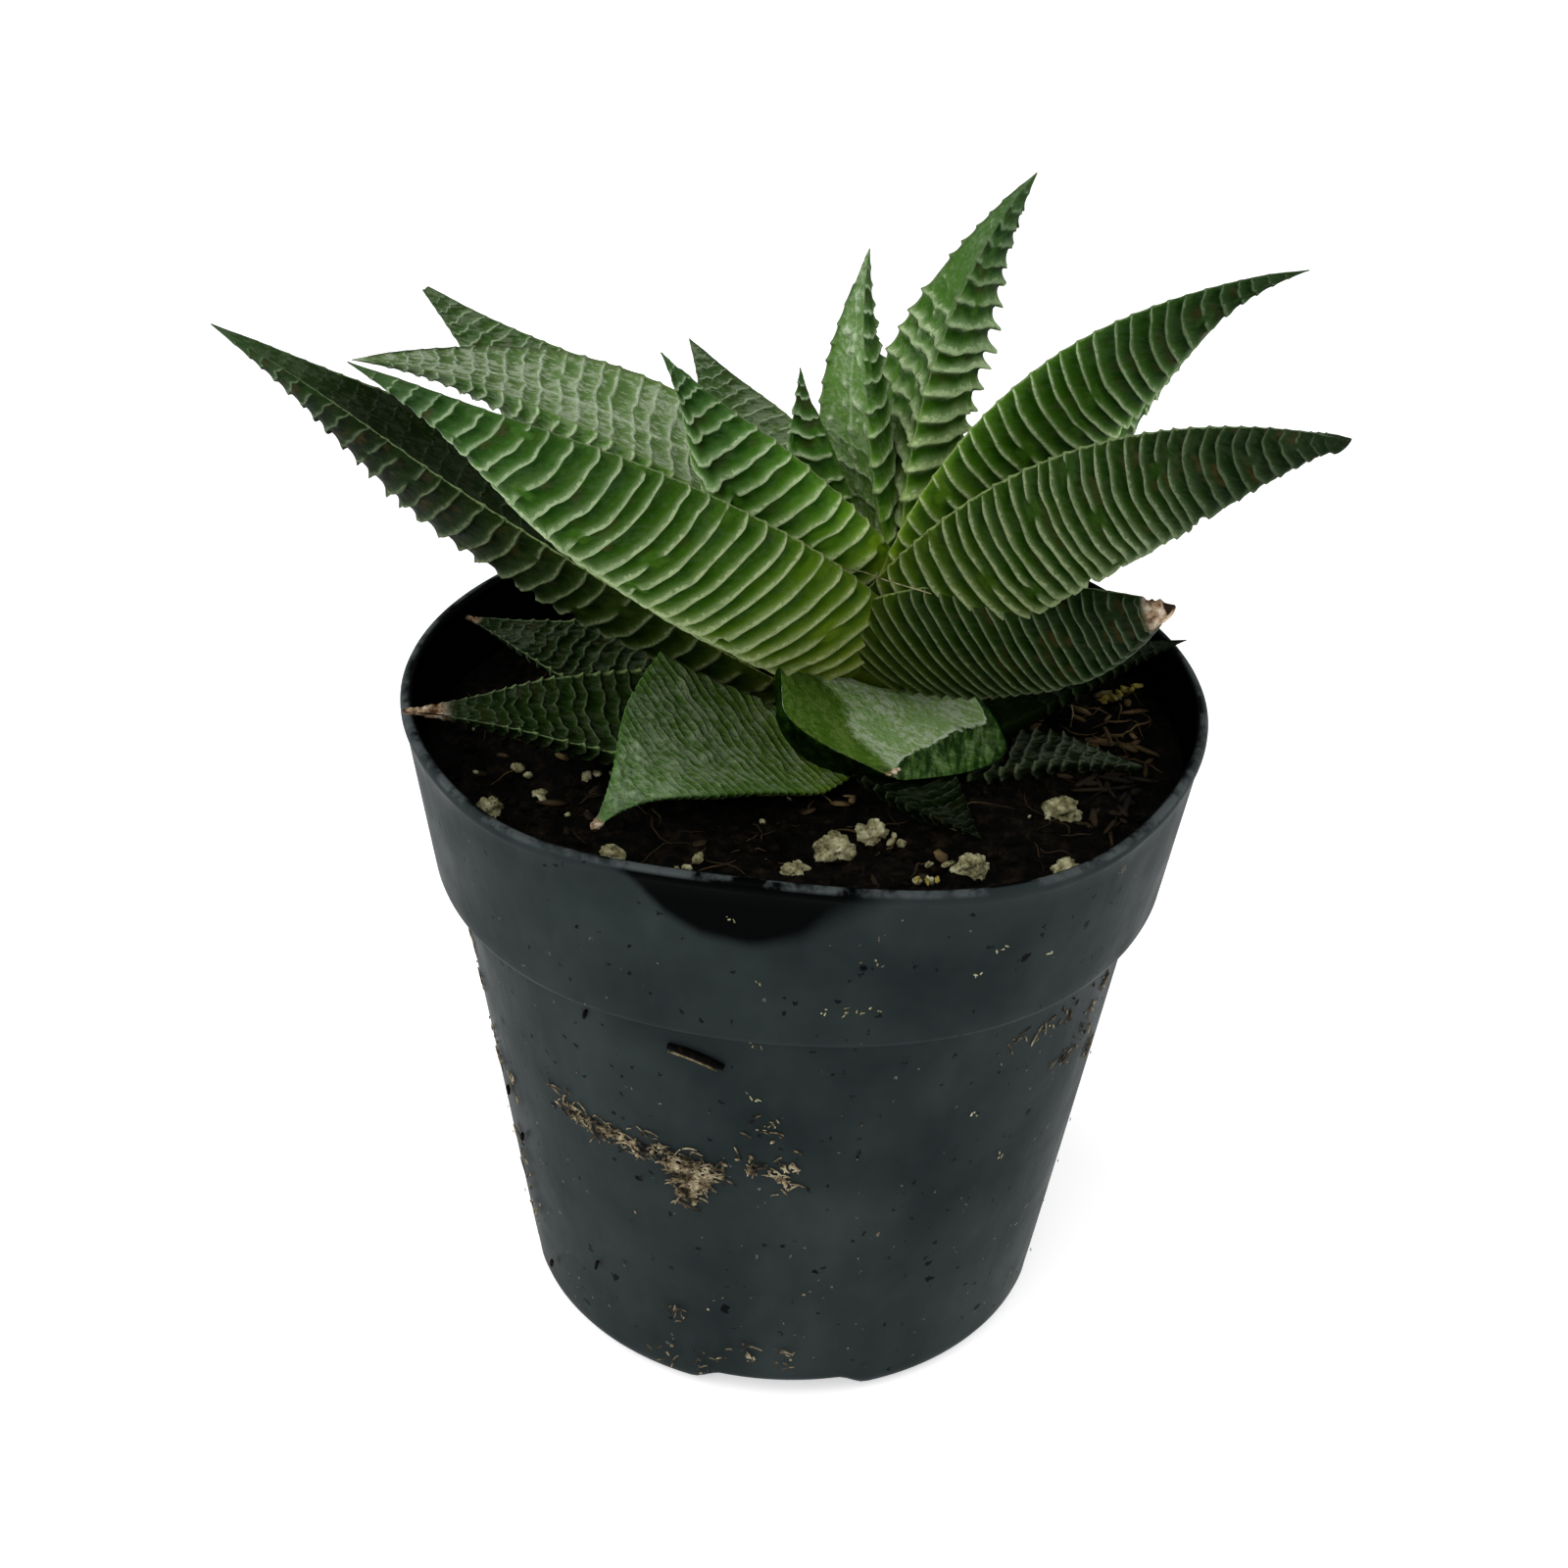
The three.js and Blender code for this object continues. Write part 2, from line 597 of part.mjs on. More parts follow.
// A perlite grain: an uneven lump, half sunk in the soil.
function makeGrain(grain, index) {
  const geometry = new THREE.IcosahedronGeometry(grain.radius, 1);
  const position = geometry.getAttribute("position");
  const centre = new THREE.Vector3(grain.x, grain.y, soilHeight(grain.x, grain.y) + grain.radius * 0.25);
  for (let i = 0; i < position.count; i++) {
    const point = new THREE.Vector3().fromBufferAttribute(position, i);
    const dent = 0.12 * Math.sin(point.x * 3 + index) * Math.cos(point.y * 4 + index) - 0.06;
    point.multiplyScalar(1 + dent).add(centre);
    position.setXYZ(i, point.x, point.y, point.z);
  }
  return solidOf(geometry);
}

// The dent in the soil that a grain lies in.
function grainDent(grain) {
  const geometry = new THREE.IcosahedronGeometry(grain.radius * 1.4, 0);
  geometry.translate(grain.x, grain.y, soilHeight(grain.x, grain.y) + grain.radius * 0.25);
  return solidOf(geometry);
}

// Builds every piece, cuts each outer leaf back from what lies inside it, and returns the named meshes.
function assemble() {
  const plant = new THREE.Group();
  plant.add(meshOf("pot", makePot(), blackPlastic));

  let soil = makeSoil(0).subtract(makeStem(GAP));
  GRAINS.forEach((grain) => {
    soil = soil.subtract(grainDent(grain));
  });
  plant.add(meshOf("soil", largestBody(soil), darkSoil));
  plant.add(meshOf("stem", makeStem(0), paleStem));

  let taken = makeStem(GAP).add(makeSoil(GAP));
  LEAVES.forEach((leaf, i) => {
    const name = `leaf_${String(i + 1).padStart(2, "0")}`;
    plant.add(meshOf(name, largestBody(makeLeaf(leaf).subtract(taken)), leafGreen));
    taken = taken.add(leafClearance(leaf));
  });

  GRAINS.forEach((grain, i) => {
    plant.add(meshOf(`perlite_${i + 1}`, makeGrain(grain, i), grainCream));
  });
  return plant;
}

export default assemble();
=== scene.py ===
# %% [markdown]
# # A potted haworthia
# The plant is a loose rosette of stiff leaves with raised cross ridges, in a black moulded nursery pot. The
# measured solids of the part come in first, because they say how large each piece is and where it sits.
# Every piece is then made again, finer, in the very same place, and gets a finish made of nodes.

# %% Load the measured solids
import math

import bmesh
import bpy
import numpy as np
from mathutils import Matrix, Vector, noise


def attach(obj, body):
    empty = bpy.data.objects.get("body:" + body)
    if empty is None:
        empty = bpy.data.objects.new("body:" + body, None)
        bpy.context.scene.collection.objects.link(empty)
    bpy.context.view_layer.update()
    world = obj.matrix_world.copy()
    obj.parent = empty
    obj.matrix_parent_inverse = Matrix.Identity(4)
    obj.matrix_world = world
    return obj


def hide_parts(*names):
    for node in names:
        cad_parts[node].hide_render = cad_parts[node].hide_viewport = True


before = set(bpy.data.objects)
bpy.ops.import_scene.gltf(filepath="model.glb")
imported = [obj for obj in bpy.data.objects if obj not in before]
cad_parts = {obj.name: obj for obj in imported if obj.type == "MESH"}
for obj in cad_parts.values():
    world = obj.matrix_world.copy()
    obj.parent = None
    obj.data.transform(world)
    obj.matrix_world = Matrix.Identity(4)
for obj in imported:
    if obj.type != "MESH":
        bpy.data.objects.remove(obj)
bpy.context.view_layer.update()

MM = 0.001

# %% [markdown]
# ## Camera
# The photograph looks down on the pot at about thirty degrees from close by, so the pot narrows strongly
# towards its foot. The focal length in pixels, the distance and the small roll of the camera were found
# from the pot's rim and foot, which are circles of known size. Building the camera from these few numbers
# keeps it readable.

# %% Camera
IMAGE_SIDE = 1600
SENSOR = 36.0
FOCAL_PIXELS = 2600.0
CAMERA_DISTANCE = 342.5
CAMERA_PITCH = math.radians(30.43)
CAMERA_ROLL = math.radians(2.075)
AIM = Vector((-2.26, 0.0, 76.36))


def put_in_scene(name, data):
    """A new object of the scene with the given camera, lamp, curve or mesh."""
    made = bpy.data.objects.new(name, data)
    bpy.context.scene.collection.objects.link(made)
    return made


view_direction = Vector((0, math.cos(CAMERA_PITCH), -math.sin(CAMERA_PITCH)))
level_right = Vector((1, 0, 0))
level_up = level_right.cross(view_direction)
right = level_right * math.cos(CAMERA_ROLL) + level_up * math.sin(CAMERA_ROLL)
up = level_up * math.cos(CAMERA_ROLL) - level_right * math.sin(CAMERA_ROLL)
camera_place = Matrix((right, up, -view_direction)).transposed().to_4x4()
camera_place.translation = (AIM - view_direction * CAMERA_DISTANCE) * MM

camera = put_in_scene("camera", bpy.data.cameras.new("camera"))
camera.data.sensor_width = SENSOR
camera.data.lens = FOCAL_PIXELS / IMAGE_SIDE * SENSOR
camera.data.clip_start = 0.01
camera.matrix_world = camera_place
bpy.context.scene.camera = camera
print("camera at", [round(value, 3) for value in camera.location], "lens", round(camera.data.lens, 1))

# %% [markdown]
# ## Helpers for pieces
# Each piece is shaped in a bmesh, in millimetres, and is then shrunk to metres and made an object. The pot
# and the soil are both turned shapes, so they share a helper that spins an outline once about the axis.


# %% Helpers for pieces
def add_piece(bm, name, material, slot, *stands_for):
    """Makes the bmesh an object that rides on the plant and stands for the named solids."""
    bmesh.ops.recalc_face_normals(bm, faces=bm.faces[:])
    bmesh.ops.scale(bm, vec=(MM, MM, MM), verts=bm.verts[:])
    mesh = bpy.data.meshes.new(name)
    bm.to_mesh(mesh)
    bm.free()
    mesh.shade_smooth()
    mesh.materials.append(material)
    piece = put_in_scene(name, mesh)
    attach(piece, "root")
    if stands_for:
        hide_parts(*stands_for)
    print(name, len(mesh.polygons), "faces")
    return piece


def turned(outline, steps):
    """A new bmesh with an outline of (radius, height) points turned once about the axis."""
    bm = bmesh.new()
    points = [bm.verts.new((radius, 0, z)) for radius, z in outline]
    edges = [bm.edges.new(pair) for pair in zip(points, points[1:])]
    bmesh.ops.spin(
        bm, geom=points + edges, cent=(0, 0, 0), axis=(0, 0, 1), dvec=(0, 0, 0), angle=math.tau, steps=steps,
        use_merge=True, use_duplicate=False,
    )
    bmesh.ops.remove_doubles(bm, verts=bm.verts[:], dist=1e-3)
    return bm


def final_mesh(made):
    """The mesh that an object's curve or modifiers come to."""
    return bpy.data.meshes.new_from_object(made.evaluated_get(bpy.context.evaluated_depsgraph_get()))


def smooth_step(low, high, value):
    """0 below low, 1 above high, and a soft S in between."""
    share = np.clip((np.asarray(value, float) - low) / (high - low), 0, 1)
    return share * share * (3 - 2 * share)


# %% [markdown]
# ## Helpers for finishes
# A finish here is a few patterns, noise and cells at several scales, mixed into colour, roughness and bump.
# Wiring nodes by hand takes many lines, so this small class does the wiring: each call adds one node and
# gives back its output. All patterns lie on object coordinates or on values stored in the mesh, so they
# stay put on the piece.


# %% Helpers for finishes
class Finish:
    """A material in the making."""

    def __init__(self, name, roughness=0.5, specular=0.5):
        self.material = bpy.data.materials.new(name)
        self.material.use_nodes = True
        self.tree = self.material.node_tree
        self.shader = self.tree.nodes["Principled BSDF"]
        self.shader.inputs["Roughness"].default_value = roughness
        self.shader.inputs["Specular IOR Level"].default_value = specular
        self.place = self.tree.nodes.new("ShaderNodeTexCoord").outputs["Object"]

    def add(self, kind, inputs=(), **settings):
        """One node of a kind, with its settings made and its inputs fed."""
        node = self.tree.nodes.new("ShaderNode" + kind)
        for key, value in settings.items():
            setattr(node, key, value)
        for key, value in dict(inputs).items():
            self.feed(node.inputs[key], value)
        return node

    def feed(self, socket, value):
        """Links another node's output to a socket, or sets the socket to a number or a colour."""
        if isinstance(value, bpy.types.NodeSocket):
            self.tree.links.new(value, socket)
        elif isinstance(value, tuple) and len(value) == 3 and socket.type == "RGBA":
            socket.default_value = (*value, 1)
        else:
            socket.default_value = value

    def stored(self, name):
        """A value stored at the mesh's points."""
        return self.add("Attribute", attribute_name=name).outputs["Fac"]

    def stretched(self, scale):
        """Object coordinates, stretched along the axes."""
        return self.add("Mapping", {"Vector": self.place, "Scale": scale}).outputs["Vector"]

    def clouds(self, scale, detail=3.0, roughness=0.55, place=None):
        inputs = {"Vector": place or self.place, "Scale": scale, "Detail": detail, "Roughness": roughness}
        return self.add("TexNoise", inputs).outputs["Fac"]

    def patches(self, scale, detail, low, high, to_low=0.0, to_high=1.0):
        """Clouds that are cut off below one limit and above another."""
        return self.window(self.clouds(scale, detail), low, high, to_low, to_high)

    def cells(self, scale):
        return self.add("TexVoronoi", {"Vector": self.place, "Scale": scale}).outputs["Distance"]

    def math(self, operation, *values, clamp=False):
        node = self.add("Math", operation=operation, use_clamp=clamp)
        for socket, value in zip(node.inputs, values):
            self.feed(socket, value)
        return node.outputs[0]

    def times(self, one, other):
        return self.math("MULTIPLY", one, other)

    def window(self, value, low, high, to_low=0.0, to_high=1.0):
        """A value between two limits, spread smoothly over two others."""
        inputs = {"Value": value, "From Min": low, "From Max": high, "To Min": to_low, "To Max": to_high}
        return self.add("MapRange", inputs, interpolation_type="SMOOTHSTEP").outputs["Result"]

    def ramp(self, value, *stops):
        """Colours that follow a value, given as pairs of a place and a colour."""
        node = self.add("ValToRGB", {"Fac": value})
        colours = node.color_ramp.elements
        while len(colours) < len(stops):
            colours.new(0.5)
        for element, (position, colour) in zip(colours, stops):
            element.position = position
            element.color = (*colour, 1)
        return node.outputs["Color"]

    def grey(self, value):
        return self.add("CombineColor", {"Red": value, "Green": value, "Blue": value}).outputs[0]

    def mix(self, share, a, b, blend="MIX"):
        node = self.add("Mix", data_type="RGBA", blend_type=blend)
        self.feed(node.inputs["Factor"], share)
        self.feed(node.inputs[6], a)
        self.feed(node.inputs[7], b)
        return node.outputs[2]

    def tinted(self, colour, tint):
        """A colour multiplied by another."""
        return self.mix(1.0, colour, tint, "MULTIPLY")

    def bump(self, height, distance, strength=1.0, under=None):
        """A relief, on top of another one if it is given."""
        inputs = {"Height": height, "Distance": distance, "Strength": strength}
        if under is not None:
            inputs["Normal"] = under
        return self.add("Bump", inputs).outputs["Normal"]

    def done(self, colour, pattern, smoothest, roughest, relief):
        """The material, with its colour, a roughness that follows a pattern, and its relief."""
        self.feed(self.shader.inputs["Base Color"], colour)
        self.feed(self.shader.inputs["Roughness"], self.window(pattern, 0.3, 0.7, smoothest, roughest))
        self.feed(self.shader.inputs["Normal"], relief)
        print(self.material.name, "finish:", len(self.tree.nodes), "nodes")
        return self.material


# %% [markdown]
# ## The leaf's flesh
# A living leaf changes along its length: yellow-green at the base, deep green in the middle, bluish at the
# tip. The mesh stores where a point lies along the leaf, and how near it is to a crest, a hollow or a
# margin, and the skin reads those values. Hollows between the ridges are darkened with painted shade, and
# some hold a little rust.

# %% The leaf's flesh
STORED = ("along", "crest", "pale", "hollow", "edge", "sage", "tone", "dry", "lower", "flank")
skin = Finish("leaf_skin", specular=0.015)
along, crest, pale, hollow, edge, sage, tone, dry, lower, flank = map(skin.stored, STORED)
mottle = skin.clouds(170, 3)
fine = skin.clouds(1400, 3)
ragged = skin.math("SUBTRACT", skin.clouds(1300, 4, 0.65), 0.5)
uneven = skin.math("MULTIPLY_ADD", skin.math("SUBTRACT", mottle, 0.5), 0.25, along)
flesh = skin.ramp(
    uneven,
    (0.00, (0.300, 0.370, 0.020)),
    (0.15, (0.160, 0.275, 0.007)),
    (0.38, (0.058, 0.148, 0.005)),
    (0.66, (0.034, 0.100, 0.006)),
    (0.90, (0.028, 0.072, 0.018)),
    (1.00, (0.034, 0.064, 0.024)),
)
# Dull grey-green, full on the upper face and weaker on the keel's flanks, which also paints the sheen of
# faces turned up to the light.
flesh = skin.mix(skin.times(sage, 0.9), flesh, (0.125, 0.190, 0.072))
flesh = skin.mix(skin.window(fine, 0.35, 0.70, 0.0, 0.40), flesh, (0.45, 0.62, 0.35), "MULTIPLY")
# Painted light and shade: each leaf's green is made brighter or darker as a whole, partly for the leaf's own
# colour and partly as light, darker on leaves that lie low in shade and brighter on the blunt front leaf.
flesh = skin.tinted(flesh, skin.grey(tone))
# Painted shade in the hollows between the ridges.
shadow = skin.times(hollow, skin.window(mottle, 0.2, 0.6, 0.85, 1.0))
flesh = skin.mix(shadow, flesh, (0.11, 0.26, 0.07), "MULTIPLY")
rust = skin.times(hollow, skin.patches(320, 2, 0.50, 0.68, 0.0, 0.50))
rust = skin.times(rust, skin.window(along, 0.2, 0.7))
flesh = skin.mix(rust, flesh, (0.050, 0.034, 0.010))
print("flesh in place")

# %% [markdown]
# ## Ridge lines and frost
# Each ridge is a thin pale line. It fades slowly on the side of the tip, where the pale colour is partly
# painted light on the gentle slope, and drops at once into a valley on the side of the base that is darkened
# with painted shade. A soft blend gives the slopes, and cutting the value off at a level that a fine noise
# shifts gives the crest its crisp, beaded edge. Dull leaves also have a frost of fine pale streaks.

# %% Ridge lines and frost
# The crest lines take half of that painted light and shade.
half_tone = skin.grey(skin.math("POWER", tone, 0.5))
crest_colour = skin.ramp(
    uneven,
    (0.00, (0.560, 0.620, 0.220)),
    (0.25, (0.480, 0.580, 0.270)),
    (0.65, (0.370, 0.480, 0.260)),
    (1.00, (0.190, 0.265, 0.160)),
)
crest_colour = skin.mix(skin.times(sage, 0.7), crest_colour, (0.44, 0.52, 0.40))
crest_colour = skin.tinted(crest_colour, half_tone)
# Partly painted light: the crest's pale colour runs down the gentle slope on the tip's side.
slope = skin.times(skin.window(crest, 0.0, 1.0, 0.0, 0.50), pale)
colour = skin.mix(slope, flesh, crest_colour)
line = skin.window(skin.math("MULTIPLY_ADD", ragged, 1.2, crest), 0.56, 0.80)
line = skin.times(line, skin.patches(380, 3, 0.34, 0.60, 0.45, 1.0))
colour = skin.mix(skin.times(line, pale), colour, crest_colour)

streaks = skin.clouds(1500, 4, 0.7, skin.stretched((0.3, 1, 1)))
streaks = skin.math("MULTIPLY_ADD", skin.clouds(220, 2), 0.5, streaks)
frost = skin.window(streaks, 0.70, 0.86, 0.0, 0.75)
colour = skin.mix(skin.times(frost, sage), colour, skin.tinted((0.34, 0.40, 0.28), half_tone))
print("ridge lines and frost in place")

# %% [markdown]
# ## Facets, margins and dry tips
# The blunt front leaf has two facets, one turned down and one to the left, that are darkened with painted
# shade, with streaks in the lower one, and a painted highlight runs as a pale line along the lower one's
# edge.
# Their stored values are distances, so a threshold draws the edge. Most leaves have a paler margin, and some
# tips are dry: brown and straw-coloured, and a thick one has a dark heart.

# %% Facets, margins and dry tips
# Painted shade on the front leaf's two facets: a streaked darkening on the lower one, a plain one on the left
# one.
below = skin.math("MULTIPLY_ADD", ragged, 1.6, lower)
beside = skin.window(skin.math("MULTIPLY_ADD", ragged, 3.0, flank), 0.8, -1.6)
streaked_shade = skin.ramp(
    skin.clouds(1100, 3, 0.6, skin.stretched((1, 0.25, 0.4))),
    (0.42, (0.04, 0.08, 0.03)),
    (0.52, (0.14, 0.21, 0.10)),
    (0.66, (0.34, 0.42, 0.26)),
)
colour = skin.mix(skin.window(below, -0.2, 0.4), colour, skin.tinted(colour, streaked_shade))
colour = skin.mix(beside, colour, skin.tinted(colour, (0.26, 0.36, 0.10)))
# Painted highlight: a broken pale line along the lower facet's edge.
edge_highlight = skin.window(skin.math("ABSOLUTE", below), 0.34, 0.16)
edge_highlight = skin.times(edge_highlight, skin.patches(420, 2, 0.42, 0.58))
colour = skin.mix(edge_highlight, colour, (0.50, 0.58, 0.42))

edge_colour = skin.ramp(
    along, (0.0, (0.36, 0.42, 0.10)), (0.5, (0.20, 0.28, 0.11)), (1.0, (0.10, 0.14, 0.08))
)
margin = skin.window(skin.math("MULTIPLY_ADD", ragged, 1.2, edge), 0.45, 0.85)
colour = skin.mix(skin.times(margin, 0.85), colour, edge_colour)

straw = skin.ramp(
    skin.clouds(900, 4), (0.35, (0.08, 0.040, 0.02)), (0.5, (0.36, 0.25, 0.15)), (0.66, (0.72, 0.64, 0.52))
)
colour = skin.mix(skin.math("MINIMUM", dry, 1.0), colour, straw)
dry_heart = skin.window(skin.math("ADD", ragged, dry), 1.2, 1.7)
colour = skin.mix(dry_heart, colour, (0.020, 0.012, 0.007))

grain = skin.bump(skin.times(ragged, crest), 0.0007, 0.8)
grain = skin.bump(fine, 0.00016, 0.6, grain)
grain = skin.bump(skin.times(skin.clouds(650, 3, 0.6), sage), 0.0009, 0.8, grain)
grain = skin.bump(skin.window(skin.cells(2600), 0.0, 0.45), 0.00006, 0.5, grain)
LEAF_SKIN = skin.done(colour, skin.clouds(500, 3), 0.42, 0.60, grain)

# %% [markdown]
# ## The stem's line and the leaves
# Every leaf starts on the short leaning stem and follows a smooth arc. Two angles give its direction at the
# base, two more say how much they change up to the tip, and a roll turns it about its own length. These are
# the same numbers that the solids were made from, so a fine leaf lies in its plain solid.
#
# The looks come after them. Places are shares of the leaf's length, and sizes are in millimetres. Outline:
# where it is widest, what the spike at the tip takes off, how blunt the keel ends, where the leaf ends and
# how thick its tip is. Ridges: their spacing and height, their share of it over the upper face (top) and at
# the margins (teeth), where the upper face gets smooth or fades, how far ridges stray and bend to the tip
# at the keel, and up to where the base is bare. Form: a raised rib or a fold on the upper face, raised
# spots, and how far the base sinks into the crumbs. Colour: how pale and how broad the lines are, how dull
# and grey-green the face is, which on the upper face also paints its sheen (sage), how bright the
# leaf is and its tip against it from a place on (tone, tip_tone, tip_from), partly its
# own colour and partly painted light and shade, the margin's pale rim, how much of the tip is dry, and
# whether it has the front leaf's facets, which are darkened with painted shade.

# %% The stem's line and the leaves
STEM_FOOT = np.array([2.0, 0.0, 78.0])
STEM_CROWN = np.array([8.5, 2.0, 113.0])
STEM_FOOT_RADIUS = 7.5
STEM_CROWN_RADIUS = 3.5
SPINE_STEPS = 60
SHAPE = ("seat", "turn", "rise", "curl", "sweep", "length", "width", "keel", "roll", "taper")
USUAL_LOOKS = {
    "widest": 0.25, "spike": 0.35, "blunt": 2.0, "end": 0.995, "tip": 0.14,
    "spacing": 3.0, "height": 1.0, "top": 0.8, "teeth": 0.55, "smooth_from": 2.0, "fades": 2.0, "stray": 1.0,
    "bend": 0.9, "bare": 0.0, "rib": 0.0, "fold": 0.0, "spots": 0, "sink": 0.0, "pale": 1.0, "line": 1.0,
    "sage": 0.15, "tone": 1.0, "tip_tone": 1.0, "tip_from": 0.55, "rim": 1.0, "dry": 0.0, "facets": False,
}


def stem_axis(height):
    share = (height - STEM_FOOT[2]) / (STEM_CROWN[2] - STEM_FOOT[2])
    return STEM_FOOT + (STEM_CROWN - STEM_FOOT) * share


def stem_radius(height):
    share = np.clip((height - STEM_FOOT[2]) / (STEM_CROWN[2] - STEM_FOOT[2]), 0, 1)
    return STEM_FOOT_RADIUS + (STEM_CROWN_RADIUS - STEM_FOOT_RADIUS) * share


def leaf(*shape, **looks):
    """One leaf's numbers, in the order of SHAPE. Looks that aren't given take the usual values."""
    return {**USUAL_LOOKS, **dict(zip(SHAPE, shape)), **looks}


LEAVES = [
    leaf(109, 208, 63.5, 17, 0, 29.7, 11, 4, 10, 1.9, spacing=2.7, tone=1.3),
    leaf(
        104, 30, 113, -38, 0, 48, 15, 6, 0, 1.7,
        spike=0.2, spacing=3.2, top=0.5, smooth_from=0.4, teeth=0.9, sage=0.45, spots=40, rib=0.6, tone=1.8,
    ),
    leaf(
        107, 228, 46.5, 5, -4, 52.5, 18, 8, 22, 1.6,
        spike=0.45, spacing=3.1, teeth=0.7, height=1.25, tone=1.6,
    ),
    leaf(
        103, 22, 98.5, -52, -12, 61, 19, 9.5, 0, 1.5,
        spike=0.2, top=1.1, teeth=1.0, spots=16, height=1.5, line=2.1, tone=1.5, tip_tone=0.85, pale=0.9,
        smooth_from=0.62, fades=0.55,
    ),
    leaf(104, 131, 35, 0, 0, 42, 19, 7, -5, 1.8, spacing=2.0, top=0.7, sage=0.45, teeth=0.4, tone=0.85),
    leaf(
        106, 182, 54, -58, 4, 72, 23, 8, -5, 2.2,
        spacing=2.5, top=0.7, sage=0.9, teeth=0.6, rib=0.8, line=1.4, stray=1.1, tone=1.5, tip_tone=0.7,
    ),
    leaf(
        102, -2, 72, -51, -46, 79.5, 24, 10, -12, 2.3,
        spike=0.55, spacing=2.5, teeth=0.5, line=0.9, stray=0.7, tone=1.1, tip_tone=0.6, bend=-4.5, fades=0.6,
    ),
    leaf(
        98, 232, 42.5, -10, -8, 97, 26, 9.5, 24, 1.6,
        spike=0.45, spacing=3.3, teeth=0.5, spots=4, stray=0.7, tone=0.80, tip_tone=1.6, pale=0.85,
    ),
    leaf(
        98, -36, 57.6, -44, -32, 97, 20, 12, -12, 2.6,
        spike=0.15, spacing=2.5, teeth=0.6, end=0.975, tip=1.5, line=1.2, tone=0.36, tip_tone=0.7, pale=0.75,
        bend=-4.5, fades=0.6,
    ),
    leaf(101, 25, 42, -14, 0, 58, 18, 8, 0, 2, spacing=2.8, tone=1.1),
    leaf(103, 153, 20, 2, -12, 77, 24, 8, -20, 1.7, spacing=2.7, sage=0.3, teeth=0.7, end=0.97),
    leaf(100, 72, 18, 0, 6, 50, 20, 8, 0, 2, tone=0.85),
    leaf(101, 105, 10, 0, 0, 46, 20, 8, 0, 2, tone=0.9),
    leaf(
        94, 187, 35.3, -8, -7, 89, 21, 12, -8, 1.7,
        spacing=2.9, top=0.3, teeth=0.5, line=0.9, tone=0.15, tip_tone=6.0, tip_from=0.74, pale=0.50,
    ),
    leaf(
        99, -20, 26.5, -8.5, -27.5, 46, 34, 10.5, -31, 2,
        spike=0, blunt=3.5, end=0.99, tip=2.0, dry=0.06, spacing=1.7, pale=0.5, top=0.5, teeth=0.3, tone=0.24,
    ),
    leaf(100, 48, 25, 0, 0, 58, 20, 8, 0, 2, tone=0.85),
    leaf(97, 128, 18, 0, 0, 58, 20, 8, 0, 2, tone=0.85),
    leaf(
        98, -58, -13, -30, -32, 21, 35, 14, -24, 2.3,
        widest=0.6, spike=0, blunt=4, tip=1.0, spacing=1.4, pale=0.1, height=0.4, smooth_from=-0.2,
        sage=1.0, fold=1.6, tone=2.2, rim=0.0, facets=True,
    ),
    leaf(93, 92, 4, 0, 0, 50, 18, 7, 0, 2, spacing=2.6, tone=0.7),
    leaf(93, 50, 8, -6, 0, 55, 18, 7, 0, 2, spacing=2.6, tone=0.7),
    leaf(
        93, -140, 9, -30, 20, 44, 29, 8, -34, 1.15,
        spike=0.5, tip=0.6, dry=0.05, spacing=1.15, pale=0.3, stray=2.4, height=1.8, sage=0.4, spots=90,
        tone=0.90, tip_tone=2.0, rim=0.2, sink=0.6,
    ),
    leaf(
        90, 165, -3, 6, -11, 52, 17, 6, -14, 2,
        spacing=2.2, pale=0.35, tone=0.25, sage=0.3, dry=0.05, tip=0.4, teeth=1.3, height=1.5, top=1.0,
        stray=1.8,
    ),
    leaf(89, 11, 8, 0, 0, 45.3, 16, 6, 0, 2, spacing=2.0, pale=0.3, tone=0.12, sink=4.0, bare=0.5, rim=0.1),
    leaf(
        90, 199.5, 4.5, 0, -6, 54.5, 20, 7, -16, 1.3,
        spacing=2.0, pale=0.3, tone=0.25, dry=0.12, tip=0.5, teeth=1.2, height=1.5, stray=1.8, sink=2.0,
    ),
    leaf(
        87, -12, 2, -6, -4, 38.5, 15, 5, -6, 2.4,
        spacing=2.0, pale=0.6, line=1.6, tone=0.14, sage=0.6, tip=0.8, teeth=1.3, height=1.8, sink=4.0,
        bare=0.35, rim=0.15,
    ),
    leaf(
        88, -57, -4, 0, 0, 31, 12, 4.5, 0, 2,
        spacing=1.8, pale=0.25, tone=0.07, teeth=1.2, height=1.4, rim=0.1,
    ),
]
print("leaves:", len(LEAVES), "longest", max(one["length"] for one in LEAVES), "mm")


# %% Arc of a leaf
def leaf_frames(one):
    """Centre, side and upward directions at even steps along the leaf."""
    steps = np.arange(SPINE_STEPS + 1) / SPINE_STEPS
    rise = np.radians(one["rise"] + one["curl"] * steps)
    heading = np.radians(one["turn"] + one["sweep"] * steps)
    forward = np.stack([np.cos(rise) * np.cos(heading), np.cos(rise) * np.sin(heading), np.sin(rise)], 1)
    side = np.stack([-np.sin(heading), np.cos(heading), 0 * heading], 1)
    upward = np.cross(forward, side)
    roll = math.radians(one["roll"])
    rolled_side = side * math.cos(roll) + upward * math.sin(roll)
    rolled_up = upward * math.cos(roll) - side * math.sin(roll)
    outward = np.array([math.cos(heading[0]), math.sin(heading[0]), 0])
    start = stem_axis(one["seat"]) + outward * stem_radius(one["seat"]) / 2
    walked = np.vstack([np.zeros(3), np.cumsum(forward[:-1], 0)]) * one["length"] / SPINE_STEPS
    return start + walked, rolled_side, rolled_up


